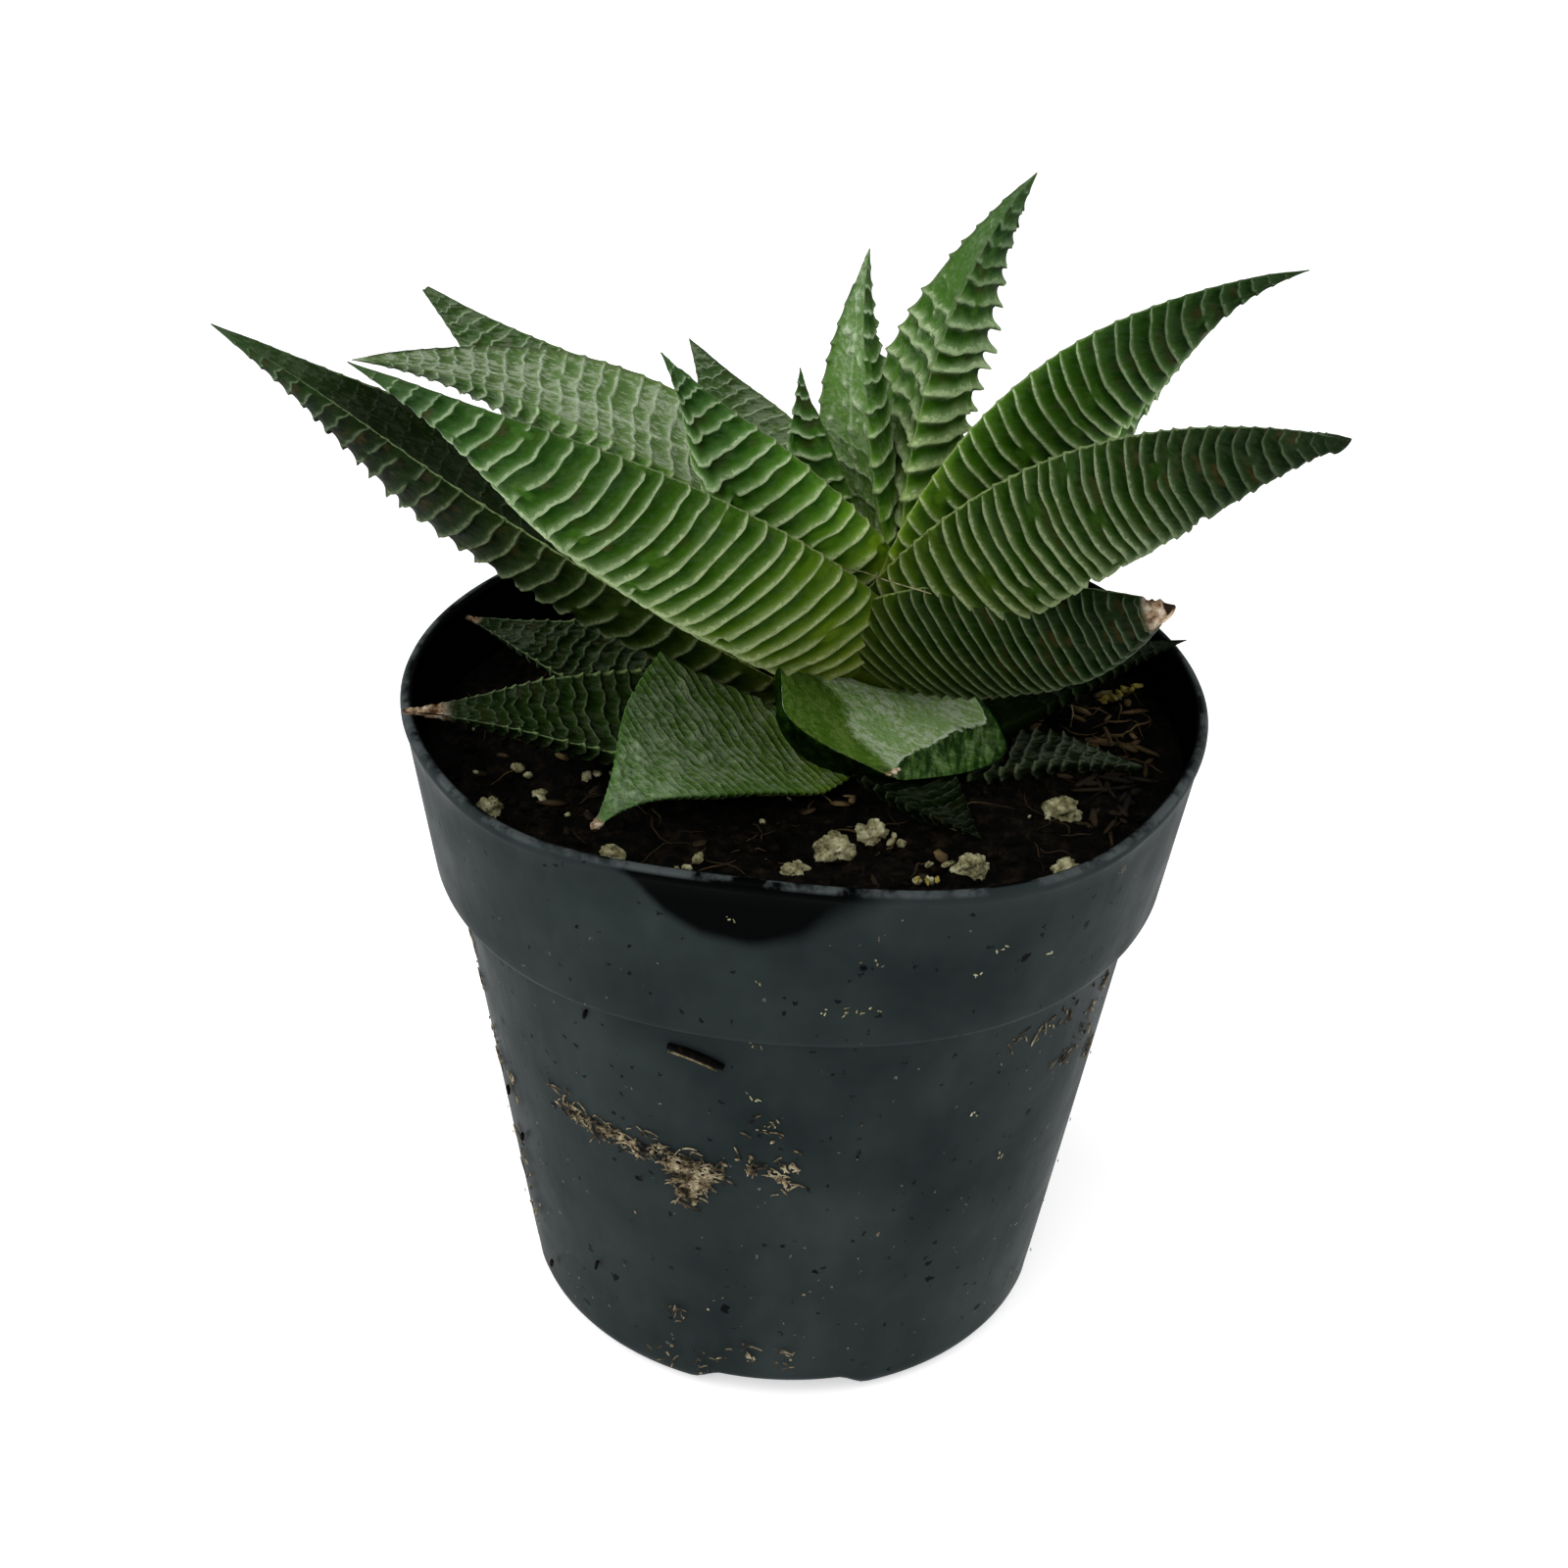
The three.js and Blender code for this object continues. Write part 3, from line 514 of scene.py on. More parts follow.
def on_spine(frames, share, across, height):
    """Points of the leaf, across and up from its middle line at shares of its length."""
    at = np.clip(share, 0, 1) * SPINE_STEPS
    steps = np.arange(SPINE_STEPS + 1)
    centre, side, upward = (
        np.stack([np.interp(at, steps, rows[:, axis]) for axis in range(3)], -1) for rows in frames
    )
    return centre + side * across[..., None] + upward * height[..., None]


# %% [markdown]
# ## How a ridge is cut
# Seen from the side a row of ridges looks like a saw: each one rises slowly from the side of the leaf's tip
# and drops quickly on the side of its base. Noise would blur that, so the mesh has its own rings of points
# for each ridge, close together round the crest. The rings wander a little along the leaf, as real ridges
# do, and here and there a ridge sinks, and its pale line runs out to a point.

# %% How a ridge is cut
RIDGE_HEIGHT = 0.52
RIDGES_FROM = 0.03
RIDGES_TO = 0.97
CROWDING = 0.3
CHANNEL_SHARE = 0.16
KEEL_POWER = 1.45
KEEL_TEETH = 1.7
DEEPEST_KEEL = 0.4
SPIKE_FROM = 0.6
SPIKE_TO = 0.97
FLANK_STEPS = 18
TOP_STEPS = 20
TIP_RINGS = 10
# Offset of a ring from the crest, in ridge spacings, and the height and the depth of painted shade there.
RIDGE_PROFILE = [
    (-0.42, 0.02, 0.85),
    (-0.27, 0.00, 1.00),
    (-0.14, 0.14, 1.00),
    (-0.07, 0.60, 0.55),
    (-0.01, 1.00, 0.05),
    (0.06, 0.90, 0.00),
    (0.13, 0.66, 0.02),
    (0.22, 0.40, 0.12),
    (0.33, 0.20, 0.32),
    (0.45, 0.06, 0.62),
]
# Reach of the pale line to the base's side and to the tip's side of a crest, in ridge spacings.
LINE_BELOW = 0.14
LINE_BEYOND = 0.27
# Places across the leaf between which the ridges pass from a face into the margin.
TO_MARGIN = (0.84, 0.97)
# Waves that make a ridge wander: how far they reach in ridge spacings, and how quickly they follow round the
# leaf. The share of ridges that sink somewhere comes after them.
DRIFT_WAVES = [(0.085, 3), (0.055, 7), (0.040, 12), (0.030, 18)]
SINKING_RIDGES = 0.35


def spike_share(one, share):
    """What the spike at the tip leaves of the width and of the depth."""
    return 1 - one["spike"] * smooth_step(SPIKE_FROM, SPIKE_TO, share)


def swell(one, share, widest, at_base, power):
    """Rises from 1 - at_base to 1 at the widest place, and then falls off to the tip with a power."""
    base = 1 - at_base * (1 - share / widest) ** 2
    blade = (1 - np.clip((share - widest) / (1 - widest), 0, 1) ** power) * spike_share(one, share)
    return np.where(share < widest, base, blade)


def leaf_width(one, share):
    return swell(one, share, one["widest"], 0.14, one["taper"])


def keel_depth(one, share):
    return swell(one, share, DEEPEST_KEEL, 0.4, one["blunt"])


def section():
    """Once round the leaf: across and keel shares, the place q of each column, and where the upper face is.
    q runs from -1 at one margin over 0 at the keel to 1 at the other, and on to 3 over the upper face."""
    flank = np.linspace(0, 1, FLANK_STEPS + 1)
    angle = flank * math.pi / 2
    out = np.clip(np.cos(angle), 0, 1) ** (2 / KEEL_POWER)
    down = np.sin(angle) ** (2 / KEEL_POWER)
    top = np.arange(1, TOP_STEPS + 1) / TOP_STEPS
    across = np.concatenate([out, -out[-2::-1], 2 * top - 1])
    keel = np.concatenate([down, down[-2::-1], 0 * top])
    q = np.concatenate([flank - 1, 1 - flank[-2::-1], 1 + 2 * top])
    return across, keel, q, (q > 1.001) & (q < 2.999)


ACROSS, KEEL, Q, TOP = section()
print("columns round a leaf:", len(Q))


# %% Rings of a leaf
def ring_table(one, random):
    """Share of the length, ridge number, offset, height and depth of painted shade of each ring of points."""
    count = round(one["length"] * (RIDGES_TO - RIDGES_FROM) / one["spacing"])
    crests = (np.arange(count) + 0.5 + random.uniform(-0.13, 0.13, count)) / count
    fence = np.concatenate([[-crests[0]], crests, [2 - crests[-1]]])
    rows = [(0.0, 0.0, -0.5, 0.0, 0.0)]
    for i in range(count):
        before, here, after = fence[i : i + 3]
        for offset, height, darkness in RIDGE_PROFILE:
            even = here + offset * ((here - before) if offset < 0 else (after - here))
            share = RIDGES_FROM + (RIDGES_TO - RIDGES_FROM) * (even + CROWDING * even * (1 - even))
            rows.append((share, i + offset + 0.5, offset, height, darkness))
    for step in range(1, TIP_RINGS + 1):
        share = RIDGES_TO + (one["end"] - RIDGES_TO) * step / TIP_RINGS
        rows.append((share, float(count), 0.5, 0.0, 0.0))
    return np.array(rows), count


def wander(one, ridge, count, random):
    """How far each point of each ring strays along the leaf, and how strong the ridge is there."""
    quarter = math.pi / 2 * Q
    drift = np.zeros((count + 2, len(Q)))
    strength = np.ones((count + 2, len(Q)))
    slow = random.uniform(0, 6)
    middle = random.uniform(0, 6)
    for k in range(count + 2):
        slow += random.uniform(0.0, 0.5)
        middle += random.uniform(-1.2, 1.2)
        quick, last = random.uniform(0, 6, 2)
        phases = (slow, middle, quick, last)
        waves = zip(DRIFT_WAVES, phases)
        drift[k] = sum(far * np.sin(many * quarter + phase) for (far, many), phase in waves)
        sinking = smooth_step(0.80, 0.97, np.sin(5 * quarter + last)) * (random.uniform() < SINKING_RIDGES)
        strength[k] = 0.86 + 0.12 * np.sin(9 * quarter + quick) + 0.08 * np.sin(17 * quarter + slow)
        strength[k] -= 0.7 * sinking
    low = np.clip(ridge.astype(int), 0, count)
    mix = np.clip(ridge - low, 0, 1)[:, None]
    strayed = drift[low] * (1 - mix) + drift[low + 1] * mix
    nearest = np.clip(np.round(ridge - 0.5).astype(int), 0, count)
    return strayed * one["stray"] * one["spacing"], strength[nearest]


def ridge_reach(one):
    """How much of a ridge's height each column gets."""
    from_keel = np.abs(Q)
    flank = one["teeth"] + (1 - one["teeth"]) * (1 - smooth_step(*TO_MARGIN, from_keel))
    flank = flank * (1 + KEEL_TEETH * np.clip(1 - from_keel, 0, 1) ** 5)
    off_middle = np.abs(ACROSS)
    upper = one["top"] * (1 - smooth_step(*TO_MARGIN, off_middle))
    upper = upper * (1 - 0.5 * np.exp(-((off_middle / 0.07) ** 2)))
    upper = np.maximum(upper, one["teeth"] * smooth_step(0.9, 1.0, off_middle))
    return np.where(TOP, upper, flank)


def ridges_left(one, share):
    """What is left of the ridges along the leaf, and how far its upper face has faded."""
    left = smooth_step(one["bare"], one["bare"] + 0.05, share) * (1 - 0.8 * smooth_step(0.88, 0.98, share))
    left = left * np.where(TOP, 1 - smooth_step(one["smooth_from"], one["smooth_from"] + 0.15, share), 1)
    faded = smooth_step(one["fades"], one["fades"] + 0.25, share)
    return left * np.where(TOP, 1 - 0.4 * faded, 1), faded


# %% [markdown]
# ## Leaves
# A leaf is a flat sheet of points rolled up into a keeled tube: a grid comes from one operator, and each of
# its points is then sent to its place on the section and the arc. The seam is welded and the two ends are
# closed. The stored values for the skin are written at the same time, while it is known which ridge a point
# belongs to.

# %% Shape of a leaf
# Where the front leaf's two facets with painted shade begin: the lower one's share of the length for places
# across the leaf, and the left one's place across for shares of the length.
LOWER_FACET = ([-0.2, 0.6, 1.0], [0.98, 0.55, 0.47])
LEFT_FACET = ([0.0, 0.28, 0.5, 0.72, 0.95], [-0.8, -0.55, -0.32, -0.37, -0.22])
# Distances in millimetres that stand for well inside a facet, and for far away from any.
IN_FACET = 3.0
NO_FACET = 9.0
# A tip thicker than this that is dry has a dark heart.
THICK_TIP = 1.5


def facet_distances(one, share, half):
    """How far each point lies past the edge of the lower facet, and to the right of the left one's edge."""
    if not one["facets"]:
        return np.full_like(share, -NO_FACET), np.full_like(share, NO_FACET)
    lower = np.where(TOP, (share - np.interp(ACROSS, *LOWER_FACET)) * one["length"], IN_FACET)
    return lower, np.where(TOP, (ACROSS - np.interp(share, *LEFT_FACET)) * half, -IN_FACET)


def outward_of(out, low):
    """The direction out of the section at each column, across and up."""
    across_step = np.roll(out[:, :-1], -1, 1) - np.roll(out[:, :-1], 1, 1)
    low_step = np.roll(low[:, :-1], -1, 1) - np.roll(low[:, :-1], 1, 1)
    long = np.maximum(np.hypot(across_step, low_step), 1e-9)
    return [np.hstack([step, step[:, :1]]) for step in (-low_step / long, across_step / long)]


def leaf_points(one, seed):
    """The places of the sheet's points and the values that the skin reads."""
    random = np.random.default_rng(seed)
    rows, count = ring_table(one, random)
    share0, _, offset, height, darkness = (column[:, None] for column in rows.T)
    stray, strength = wander(one, rows[:, 1], count, random)
    left, faded = ridges_left(one, share0)
    reach = ridge_reach(one)[None, :] * strength * left
    slimness = np.clip(leaf_width(one, share0) / 0.6, 0.3, 1)
    size = RIDGE_HEIGHT * one["height"] * min(1.0, one["spacing"] / 3.0) * slimness
    calm = smooth_step(0.0, 0.06, share0) * (1 - smooth_step(0.93, 0.985, share0))
    bow = one["bend"] * KEEL * smooth_step(0.0, 0.3, share0) * (1 - smooth_step(0.75, 0.98, share0))
    share = np.clip(share0 + (bow + calm * stray) / one["length"], 0, 1)

    # The section's outline: the blade, its rounded tip, the channel, and a middle line that wavers.
    cap = one["tip"] / one["length"]
    rounding = np.sqrt(1 - np.clip((share - one["end"] + cap) / cap, 0, 0.98) ** 2)
    half = np.maximum(one["width"] / 2 * leaf_width(one, share), one["tip"] * rounding)
    depth = np.maximum(one["keel"] * keel_depth(one, share), 1.1 * one["tip"] * rounding)
    channel = np.where(TOP, 1 - np.abs(ACROSS) ** 2.5, 0)
    waver = (0.05 * np.sin(14 * share) + 0.03 * np.sin(31 * share)) * (1 - ACROSS**2) * TOP
    out = half * (ACROSS + (waver if one["rib"] else 0.0))
    low = -half * CHANNEL_SHARE * channel - depth * KEEL
    fold_at = 0.45 - 0.9 * smooth_step(0.0, 0.8, share)
    fold = np.where(ACROSS < fold_at, (1 + ACROSS) / (1 + fold_at), (1 - ACROSS) / (1 - fold_at)) * TOP
    low = low + one["fold"] * fold * calm

    # What stands up from it: ridges, rim, rib, the crumpled dry tip, and spots.
    rib = np.where(TOP, one["rib"] * np.exp(-((ACROSS / 0.05) ** 2)), 0) * calm
    edge = np.where(np.abs(ACROSS) > 0.995, one["rim"], 0.0) * np.ones_like(share)
    dry = 0 * share
    if one["dry"]:
        dry = smooth_step(one["end"] - one["dry"], one["end"] - 0.6 * one["dry"], share)
    crumple = np.sin(3.3 * Q + 5 * share0 * one["length"]) * np.sin(1.9 * share0 * one["length"] + 4 * Q)
    crumpled = 0.20 * one["tip"] * dry * crumple * rounding
    lift = size * height * reach + 0.18 * edge * calm + 0.25 * rib + crumpled
    if one["tip"] > THICK_TIP:
        dry = dry * (1 + smooth_step(one["end"] - 0.012, one["end"] - 0.004, share))
    broad = one["line"] * (1 + 0.35 * KEEL) * (1.25 - 0.5 * share) * (0.3 + 0.7 * np.clip(reach, 0, 1))
    near = np.where(offset < 0, -offset / (LINE_BELOW * broad), offset / (LINE_BEYOND * broad))
    crest = np.clip(1 - near, 0, 1) * smooth_step(0.05, 0.35, reach)
    crest = np.maximum(crest, rib)
    for _ in range(one["spots"]):
        spot_share, spot_across = random.uniform(0.15, 0.9), random.uniform(-0.8, 0.8)
        far = ((share - spot_share) * one["length"]) ** 2 + ((ACROSS - spot_across) * half) ** 2
        spot = np.where(TOP, np.exp(-far / random.uniform(0.12, 0.7)), 0)
        lift = lift + 0.4 * spot
        crest = np.maximum(crest, spot)

    normal_across, normal_up = outward_of(out, low)
    places = on_spine(leaf_frames(one), share, out + lift * normal_across, low + lift * normal_up)
    places[..., 2] -= one["sink"] * (1 - smooth_step(0.3, 0.75, share))
    lower, flank = facet_distances(one, share, half)
    tip_share = smooth_step(one["tip_from"], one["tip_from"] + 0.3, share)
    stored = {
        "along": share,
        "crest": crest,
        "pale": one["pale"] * (1 - 0.65 * faded) * np.ones_like(share),
        # Painted shade in the valleys, from the ridge profile.
        "hollow": darkness * np.clip(reach, 0, 1) * min(1.0, one["spacing"] / 1.6) * (1 - 0.3 * one["sage"]),
        "edge": edge,
        # Grey-green that also stands for painted sheen: full on the upper face, less on the keel's flanks.
        "sage": one["sage"] * np.where(TOP, 1.0, 0.3) * np.ones_like(share),
        # Brightness of the leaf and of its tip, partly its own colour and partly painted light and shade.
        "tone": one["tone"] * (1 + (one["tip_tone"] - 1) * tip_share),
        "dry": dry,
        "lower": lower,
        "flank": flank,
    }
    return places, stored


def make_leaf(one, number):
    """The fine leaf of a number, from its row in the list."""
    places, stored = leaf_points(one, 100 + number)
    rings, columns = places.shape[:2]
    bm = bmesh.new()
    layers = {key: bm.verts.layers.float.new(key) for key in stored}
    bmesh.ops.create_grid(bm, x_segments=rings - 1, y_segments=columns - 1, size=1)
    seam = []
    for vert in bm.verts:
        i = round((vert.co.x + 1) / 2 * (rings - 1))
        j = round((vert.co.y + 1) / 2 * (columns - 1))
        vert.co = places[i, j]
        for key, layer in layers.items():
            vert[layer] = stored[key][i, j]
        if j in (0, columns - 1):
            seam.append(vert)
    bmesh.ops.remove_doubles(bm, verts=seam, dist=1e-4)
    open_edges = [one_edge for one_edge in bm.edges if one_edge.is_boundary]
    bmesh.ops.holes_fill(bm, edges=open_edges, sides=0)
    name = f"leaf_{number:02d}"
    return add_piece(bm, "fine_" + name, LEAF_SKIN, "leaf_skin", name)


# %% Leaves
fine_leaves = [make_leaf(one, number) for number, one in enumerate(LEAVES, 1)]
print("leaf faces in all:", sum(len(piece.data.polygons) for piece in fine_leaves))

# %% [markdown]
# ## Stem and roots
# The short stem hardly shows between the leaf bases, but it carries them, and its fleshy roots fill the
# soil. A curve with a thickness at each point is the quickest way to a tapering round shoot, and it keeps
# its ends closed.


# %% Curves that become solid pieces
def add_strands(name, strands, material, slot, *stands_for, sides=2):
    """Closed round strands along lists of (x, y, z, radius), in millimetres, as one piece."""
    curve = bpy.data.curves.new(name, "CURVE")
    curve.dimensions = "3D"
    curve.bevel_depth = 1.0
    curve.bevel_resolution = sides
    curve.use_fill_caps = True
    for strand in strands:
        spline = curve.splines.new("POLY")
        spline.points.add(len(strand) - 1)
        for point, (x, y, z, radius) in zip(spline.points, strand):
            point.co = (x, y, z, 1)
            point.radius = radius
    made = put_in_scene(name, curve)
    mesh = final_mesh(made)
    bpy.data.objects.remove(made)
    bpy.data.curves.remove(curve)
    bm = bmesh.new()
    bm.from_mesh(mesh)
    bpy.data.meshes.remove(mesh)
    bmesh.ops.remove_doubles(bm, verts=bm.verts[:], dist=1e-5)
    return add_piece(bm, name, material, slot, *stands_for)


# %% The stem's finish
tissue = Finish("stem_tissue", specular=0.3)
bands = tissue.clouds(300, 4, place=tissue.stretched((1, 1, 4)))
colour = tissue.ramp(bands, (0.3, (0.07, 0.045, 0.02)), (0.5, (0.24, 0.22, 0.06)), (0.7, (0.42, 0.40, 0.16)))
colour = tissue.mix(tissue.patches(900, 2, 0.5, 0.8, 0, 0.6), colour, (0.09, 0.06, 0.03))
STEM_TISSUE = tissue.done(colour, bands, 0.55, 0.85, tissue.bump(tissue.clouds(1200, 4), 0.0004, 0.7))

# %% Stem and roots
ROOT_COUNT = 5
ROOT_LENGTH = 34
ROOT_RADIUS = 2.6
ROOT_REACH = 17
# How far the shoot goes on below the stem's foot.
SHOOT_BELOW = 8

shoot = []
for height in np.linspace(STEM_FOOT[2] - SHOOT_BELOW, STEM_CROWN[2], 40):
    low_end = smooth_step(STEM_FOOT[2] - SHOOT_BELOW - 0.5, STEM_FOOT[2] - 2, height)
    high_end = 1 - smooth_step(STEM_CROWN[2] - 3, STEM_CROWN[2] + 1, height)
    knots = 1 + 0.05 * math.sin(height * 2.4) + 0.03 * math.sin(height * 5.3)
    radius = stem_radius(height) * (0.4 + 0.6 * low_end) * (0.4 + 0.6 * high_end) * knots
    shoot.append((*stem_axis(height), float(radius)))
strands = [shoot]
foot = stem_axis(STEM_FOOT[2] - 3)
for i in range(ROOT_COUNT):
    angle = (i + 0.3) / ROOT_COUNT * math.tau
    root = []
    for share in np.linspace(0, 1, 16):
        reach = 2 + ROOT_REACH * share
        wobble = 0.5 * math.sin(9 * share + i)
        x = foot[0] + reach * math.cos(angle) - wobble * math.sin(angle)
        y = foot[1] + reach * math.sin(angle) + wobble * math.cos(angle)
        root.append((x, y, foot[2] - ROOT_LENGTH * share**1.3, ROOT_RADIUS * (1 - 0.75 * share)))
    strands.append(root)
add_strands("fine_stem", strands, STEM_TISSUE, "stem_tissue", "stem", sides=3)

# %% [markdown]
# ## The pot's plastic
# The pot is black moulded plastic, but it isn't clean: a dry film of dust turns it charcoal, with fine pale
# specks and darker blots. At the front of the collar one patch is painted near-black as a dark reflection,
# and the inner wall is painted near-black as shade. A cloudy mix of two greys, then cells that keep only a
# few of their dots, give this without any picture.


# %% The pot's plastic
def few_specks(finish, scale, size, kept, ragged):
    """Small uneven specks in a share of the cells of a cell pattern."""
    inputs = {"Vector": finish.place, "Scale": scale * 2.2, "Detail": 2.0}
    shift = finish.add("TexNoise", inputs).outputs["Color"]
    shift = finish.add("VectorMath", {0: shift, 1: (0.5, 0.5, 0.5)}, operation="SUBTRACT").outputs[0]
    shift = finish.add("VectorMath", {0: shift, "Scale": ragged / scale}, operation="SCALE").outputs[0]
    place = finish.add("VectorMath", {0: finish.place, 1: shift}, operation="ADD").outputs[0]
    cells = finish.add("TexVoronoi", {"Vector": place, "Scale": scale})
    chosen = finish.add("SeparateColor", {"Color": cells.outputs["Color"]}).outputs[0]
    inside = finish.window(cells.outputs["Distance"], size, size * 0.7)
    return finish.times(inside, finish.math("LESS_THAN", chosen, kept))


# Specks: cells in a metre, size of a speck in its cell, share of the cells with one, raggedness and colour.
SPECKS = [
    (260, 0.20, 0.10, 0.5, (0.002, 0.003, 0.004)),
    (800, 0.30, 0.07, 1.2, (0.004, 0.006, 0.007)),
    (1100, 0.22, 0.025, 1.4, (0.12, 0.125, 0.12)),
    (420, 0.13, 0.02, 1.4, (0.14, 0.115, 0.08)),
]
plastic = Finish("pot_plastic", specular=0.012)
inner, rim_edge, wiped = map(plastic.stored, ("inner", "rim", "wiped"))
film = plastic.clouds(45, 4, 0.6)
smears = plastic.clouds(90, 3, 0.6, plastic.stretched((1, 1, 0.35)))
colour = plastic.ramp(film, (0.30, (0.0115, 0.0165, 0.0170)), (0.70, (0.0245, 0.0320, 0.0320)))
colour = plastic.mix(plastic.window(smears, 0.45, 0.8, 0, 0.35), colour, (0.040, 0.050, 0.050))
for scale, size, kept, ragged, speck_colour in SPECKS:
    colour = plastic.mix(few_specks(plastic, scale, size, kept, ragged), colour, speck_colour)
# Painted dark reflection at the front of the collar and painted shade on the inner wall, both near-black; the
# dust film's clouds make the patch's edge uneven.
wiped = plastic.math("ADD", wiped, plastic.window(film, 0.2, 0.8, -0.5, 0.5))
dark_reflection_and_shade = plastic.math("MAXIMUM", plastic.window(wiped, -0.6, 1.5), inner)
colour = plastic.mix(dark_reflection_and_shade, colour, (0.0004, 0.0006, 0.0007))
# Painted highlight: a broken lighter line along the top of the rim.
rim_highlight = plastic.times(rim_edge, plastic.window(plastic.clouds(150, 4, 0.7), 0.42, 0.60))
colour = plastic.mix(rim_highlight, colour, (0.060, 0.070, 0.072))
scuffs = plastic.clouds(700, 3, 0.6, plastic.stretched((1, 1, 0.25)))
POT_PLASTIC = plastic.done(colour, plastic.clouds(120, 4), 0.34, 0.46, plastic.bump(scuffs, 0.00008, 0.5))

# %% [markdown]
# ## Pot
# A nursery pot is moulded thin in one shot: a flat foot with a soft corner, a tapering wall, a step out to
# a collar, and a small bead round the rim. All of that is one outline turned about the axis. The soft
# collar is pressed out of round, so its points are then moved in or out, and the four arched channels under
# the foot are raised the same way. Only the drainage holes are cut, with plain rods.

# %% Outline of the pot
POT_HEIGHT = 92.3
RIM_RADIUS = 52.5
COLLAR_FOOT = 68.3
COLLAR_FOOT_RADIUS = 49.0
BODY_TOP = 67.1
BODY_TOP_RADIUS = 46.3
BASE_RADIUS = 36.7
CORNER = 3.5
WALL = 0.9
FLOOR = 1.4
POT_STEPS = 216
# Stretches of the outline as (radius, height), in their order from the middle of the underside round the rim
# to the inside: the recess round the gate mark, the step out to the collar, the bead, the step seen from
# inside, and the inner corner.
GATE_RECESS = [(0, 0.15), (1.2, 0.15), (1.5, 0.5), (5.6, 0.5), (6.2, 0)]
STEP_OUT = [(46.45, 67.55), (46.9, 67.85), (47.7, 68.0), (48.4, 68.1), (48.85, 68.4), (49.05, 69.0)]
BEAD = [
    (52.25, 90.2), (52.45, 90.6), (52.65, 91.1), (52.65, 91.6), (52.45, 92.0), (52.1, 92.25),
    (51.75, 92.3), (51.4, 92.2), (51.15, 91.9), (51.05, 91.4), (51.1, 90.8), (51.25, 90.2),
]
STEP_IN = [(48.15, 69.3), (47.9, 68.9), (47.3, 68.75), (46.3, 68.6), (45.7, 68.3), (45.45, 67.7)]
INNER_CORNER = [(35.9, CORNER), (35.4, 2.4), (34.5, 1.7), (33.2, FLOOR)]


def between(start, end, count):
    """Points on a straight stretch of an outline, without its first one."""
    way = np.array(end) - np.array(start)
    return [tuple(np.array(start) + way * i / count) for i in range(1, count + 1)]


outline = GATE_RECESS + between(GATE_RECESS[-1], (BASE_RADIUS - CORNER, 0), 24)
for turn in np.linspace(0, math.pi / 2, 8)[1:]:
    outline.append((BASE_RADIUS - CORNER * (1 - math.sin(turn)), CORNER * (1 - math.cos(turn))))
outline += between((BASE_RADIUS, CORNER), (BODY_TOP_RADIUS, BODY_TOP), 22) + STEP_OUT
outline += between(STEP_OUT[-1], BEAD[0], 12) + BEAD[1:]
outline += between(BEAD[-1], STEP_IN[0], 12) + STEP_IN[1:]
outline += between(STEP_IN[-1], INNER_CORNER[0], 22) + INNER_CORNER[1:]
outline += between(INNER_CORNER[-1], (0, FLOOR), 26)
print("pot outline:", len(outline), "points")

# %% Pot
# Each dent of the collar has an angle in degrees, a width in degrees, and a depth, out if it is positive.
DENTS = [(-98, 25, -2.7), (-57, 22, 2.7), (-130, 15, 1.2)]
DENTS_FADE_FROM = 55
CHANNEL_COUNT = 4
CHANNEL_HALF = 11.5
CHANNEL_RISE = 2.0
CHANNEL_FROM = 15.0
CHANNEL_FADE = 7.0
HOLE_RADIUS = 4.0
HOLE_AT = 26.0
# A point this far inside the outer wall is on the inner one.
INSIDE_FROM = 0.75 * WALL
# The rim's top gets a broken painted highlight outwards of this radius and above this height.
RIM_HIGHLIGHT_RADIUS = 51.5
RIM_HIGHLIGHT_HEIGHT = 91.95
# Angles round the pot and the height there of the lower edge of the painted dark reflection, then angles and
# how sharp it is.
DARK_REFLECTION_EDGE = (
    [-118, -113, -108, -103.5, -96, -89.5, -84.5, -80, -77],
    [93.5, 90.3, 85.6, 83.4, 82.3, 83.5, 87.2, 90.5, 93.5],
)
DARK_REFLECTION_SHARPNESS = ([-98, -86], [1.0, 0.3])
DARK_REFLECTION_ANGLES = (-120, -74)
DARK_REFLECTION_ABOVE = 75
NO_DARK_REFLECTION = -9.0
# Edges sharper than this stay sharp in the shading.
SHARP_ANGLE = math.radians(50)


def dent_at(angle, z):
    """How far the collar is pressed in or out at an angle in degrees and a height."""
    away = [(angle - at + 180) % 360 - 180 for at, _, _ in DENTS]
    offset = sum(depth * math.exp(-((far / width) ** 2)) for far, (_, width, depth) in zip(away, DENTS))
    return offset * float(smooth_step(DENTS_FADE_FROM, POT_HEIGHT, z))


def pot_radius(z):
    """The outer radius at a height, without the dents."""
    if z > COLLAR_FOOT:
        share = (RIM_RADIUS - COLLAR_FOOT_RADIUS) * (z - COLLAR_FOOT) / (POT_HEIGHT - COLLAR_FOOT)
        return COLLAR_FOOT_RADIUS + share
    return BASE_RADIUS + (BODY_TOP_RADIUS - BASE_RADIUS) * z / BODY_TOP


def dark_reflection_at(angle, z):
    """How far a point lies above the lower edge of the painted dark reflection, less where that edge is soft.
    """
    if not (DARK_REFLECTION_ANGLES[0] < angle < DARK_REFLECTION_ANGLES[1] and z > DARK_REFLECTION_ABOVE):
        return NO_DARK_REFLECTION
    return (z - float(np.interp(angle, *DARK_REFLECTION_EDGE))) * float(np.interp(angle, *DARK_REFLECTION_SHARPNESS))


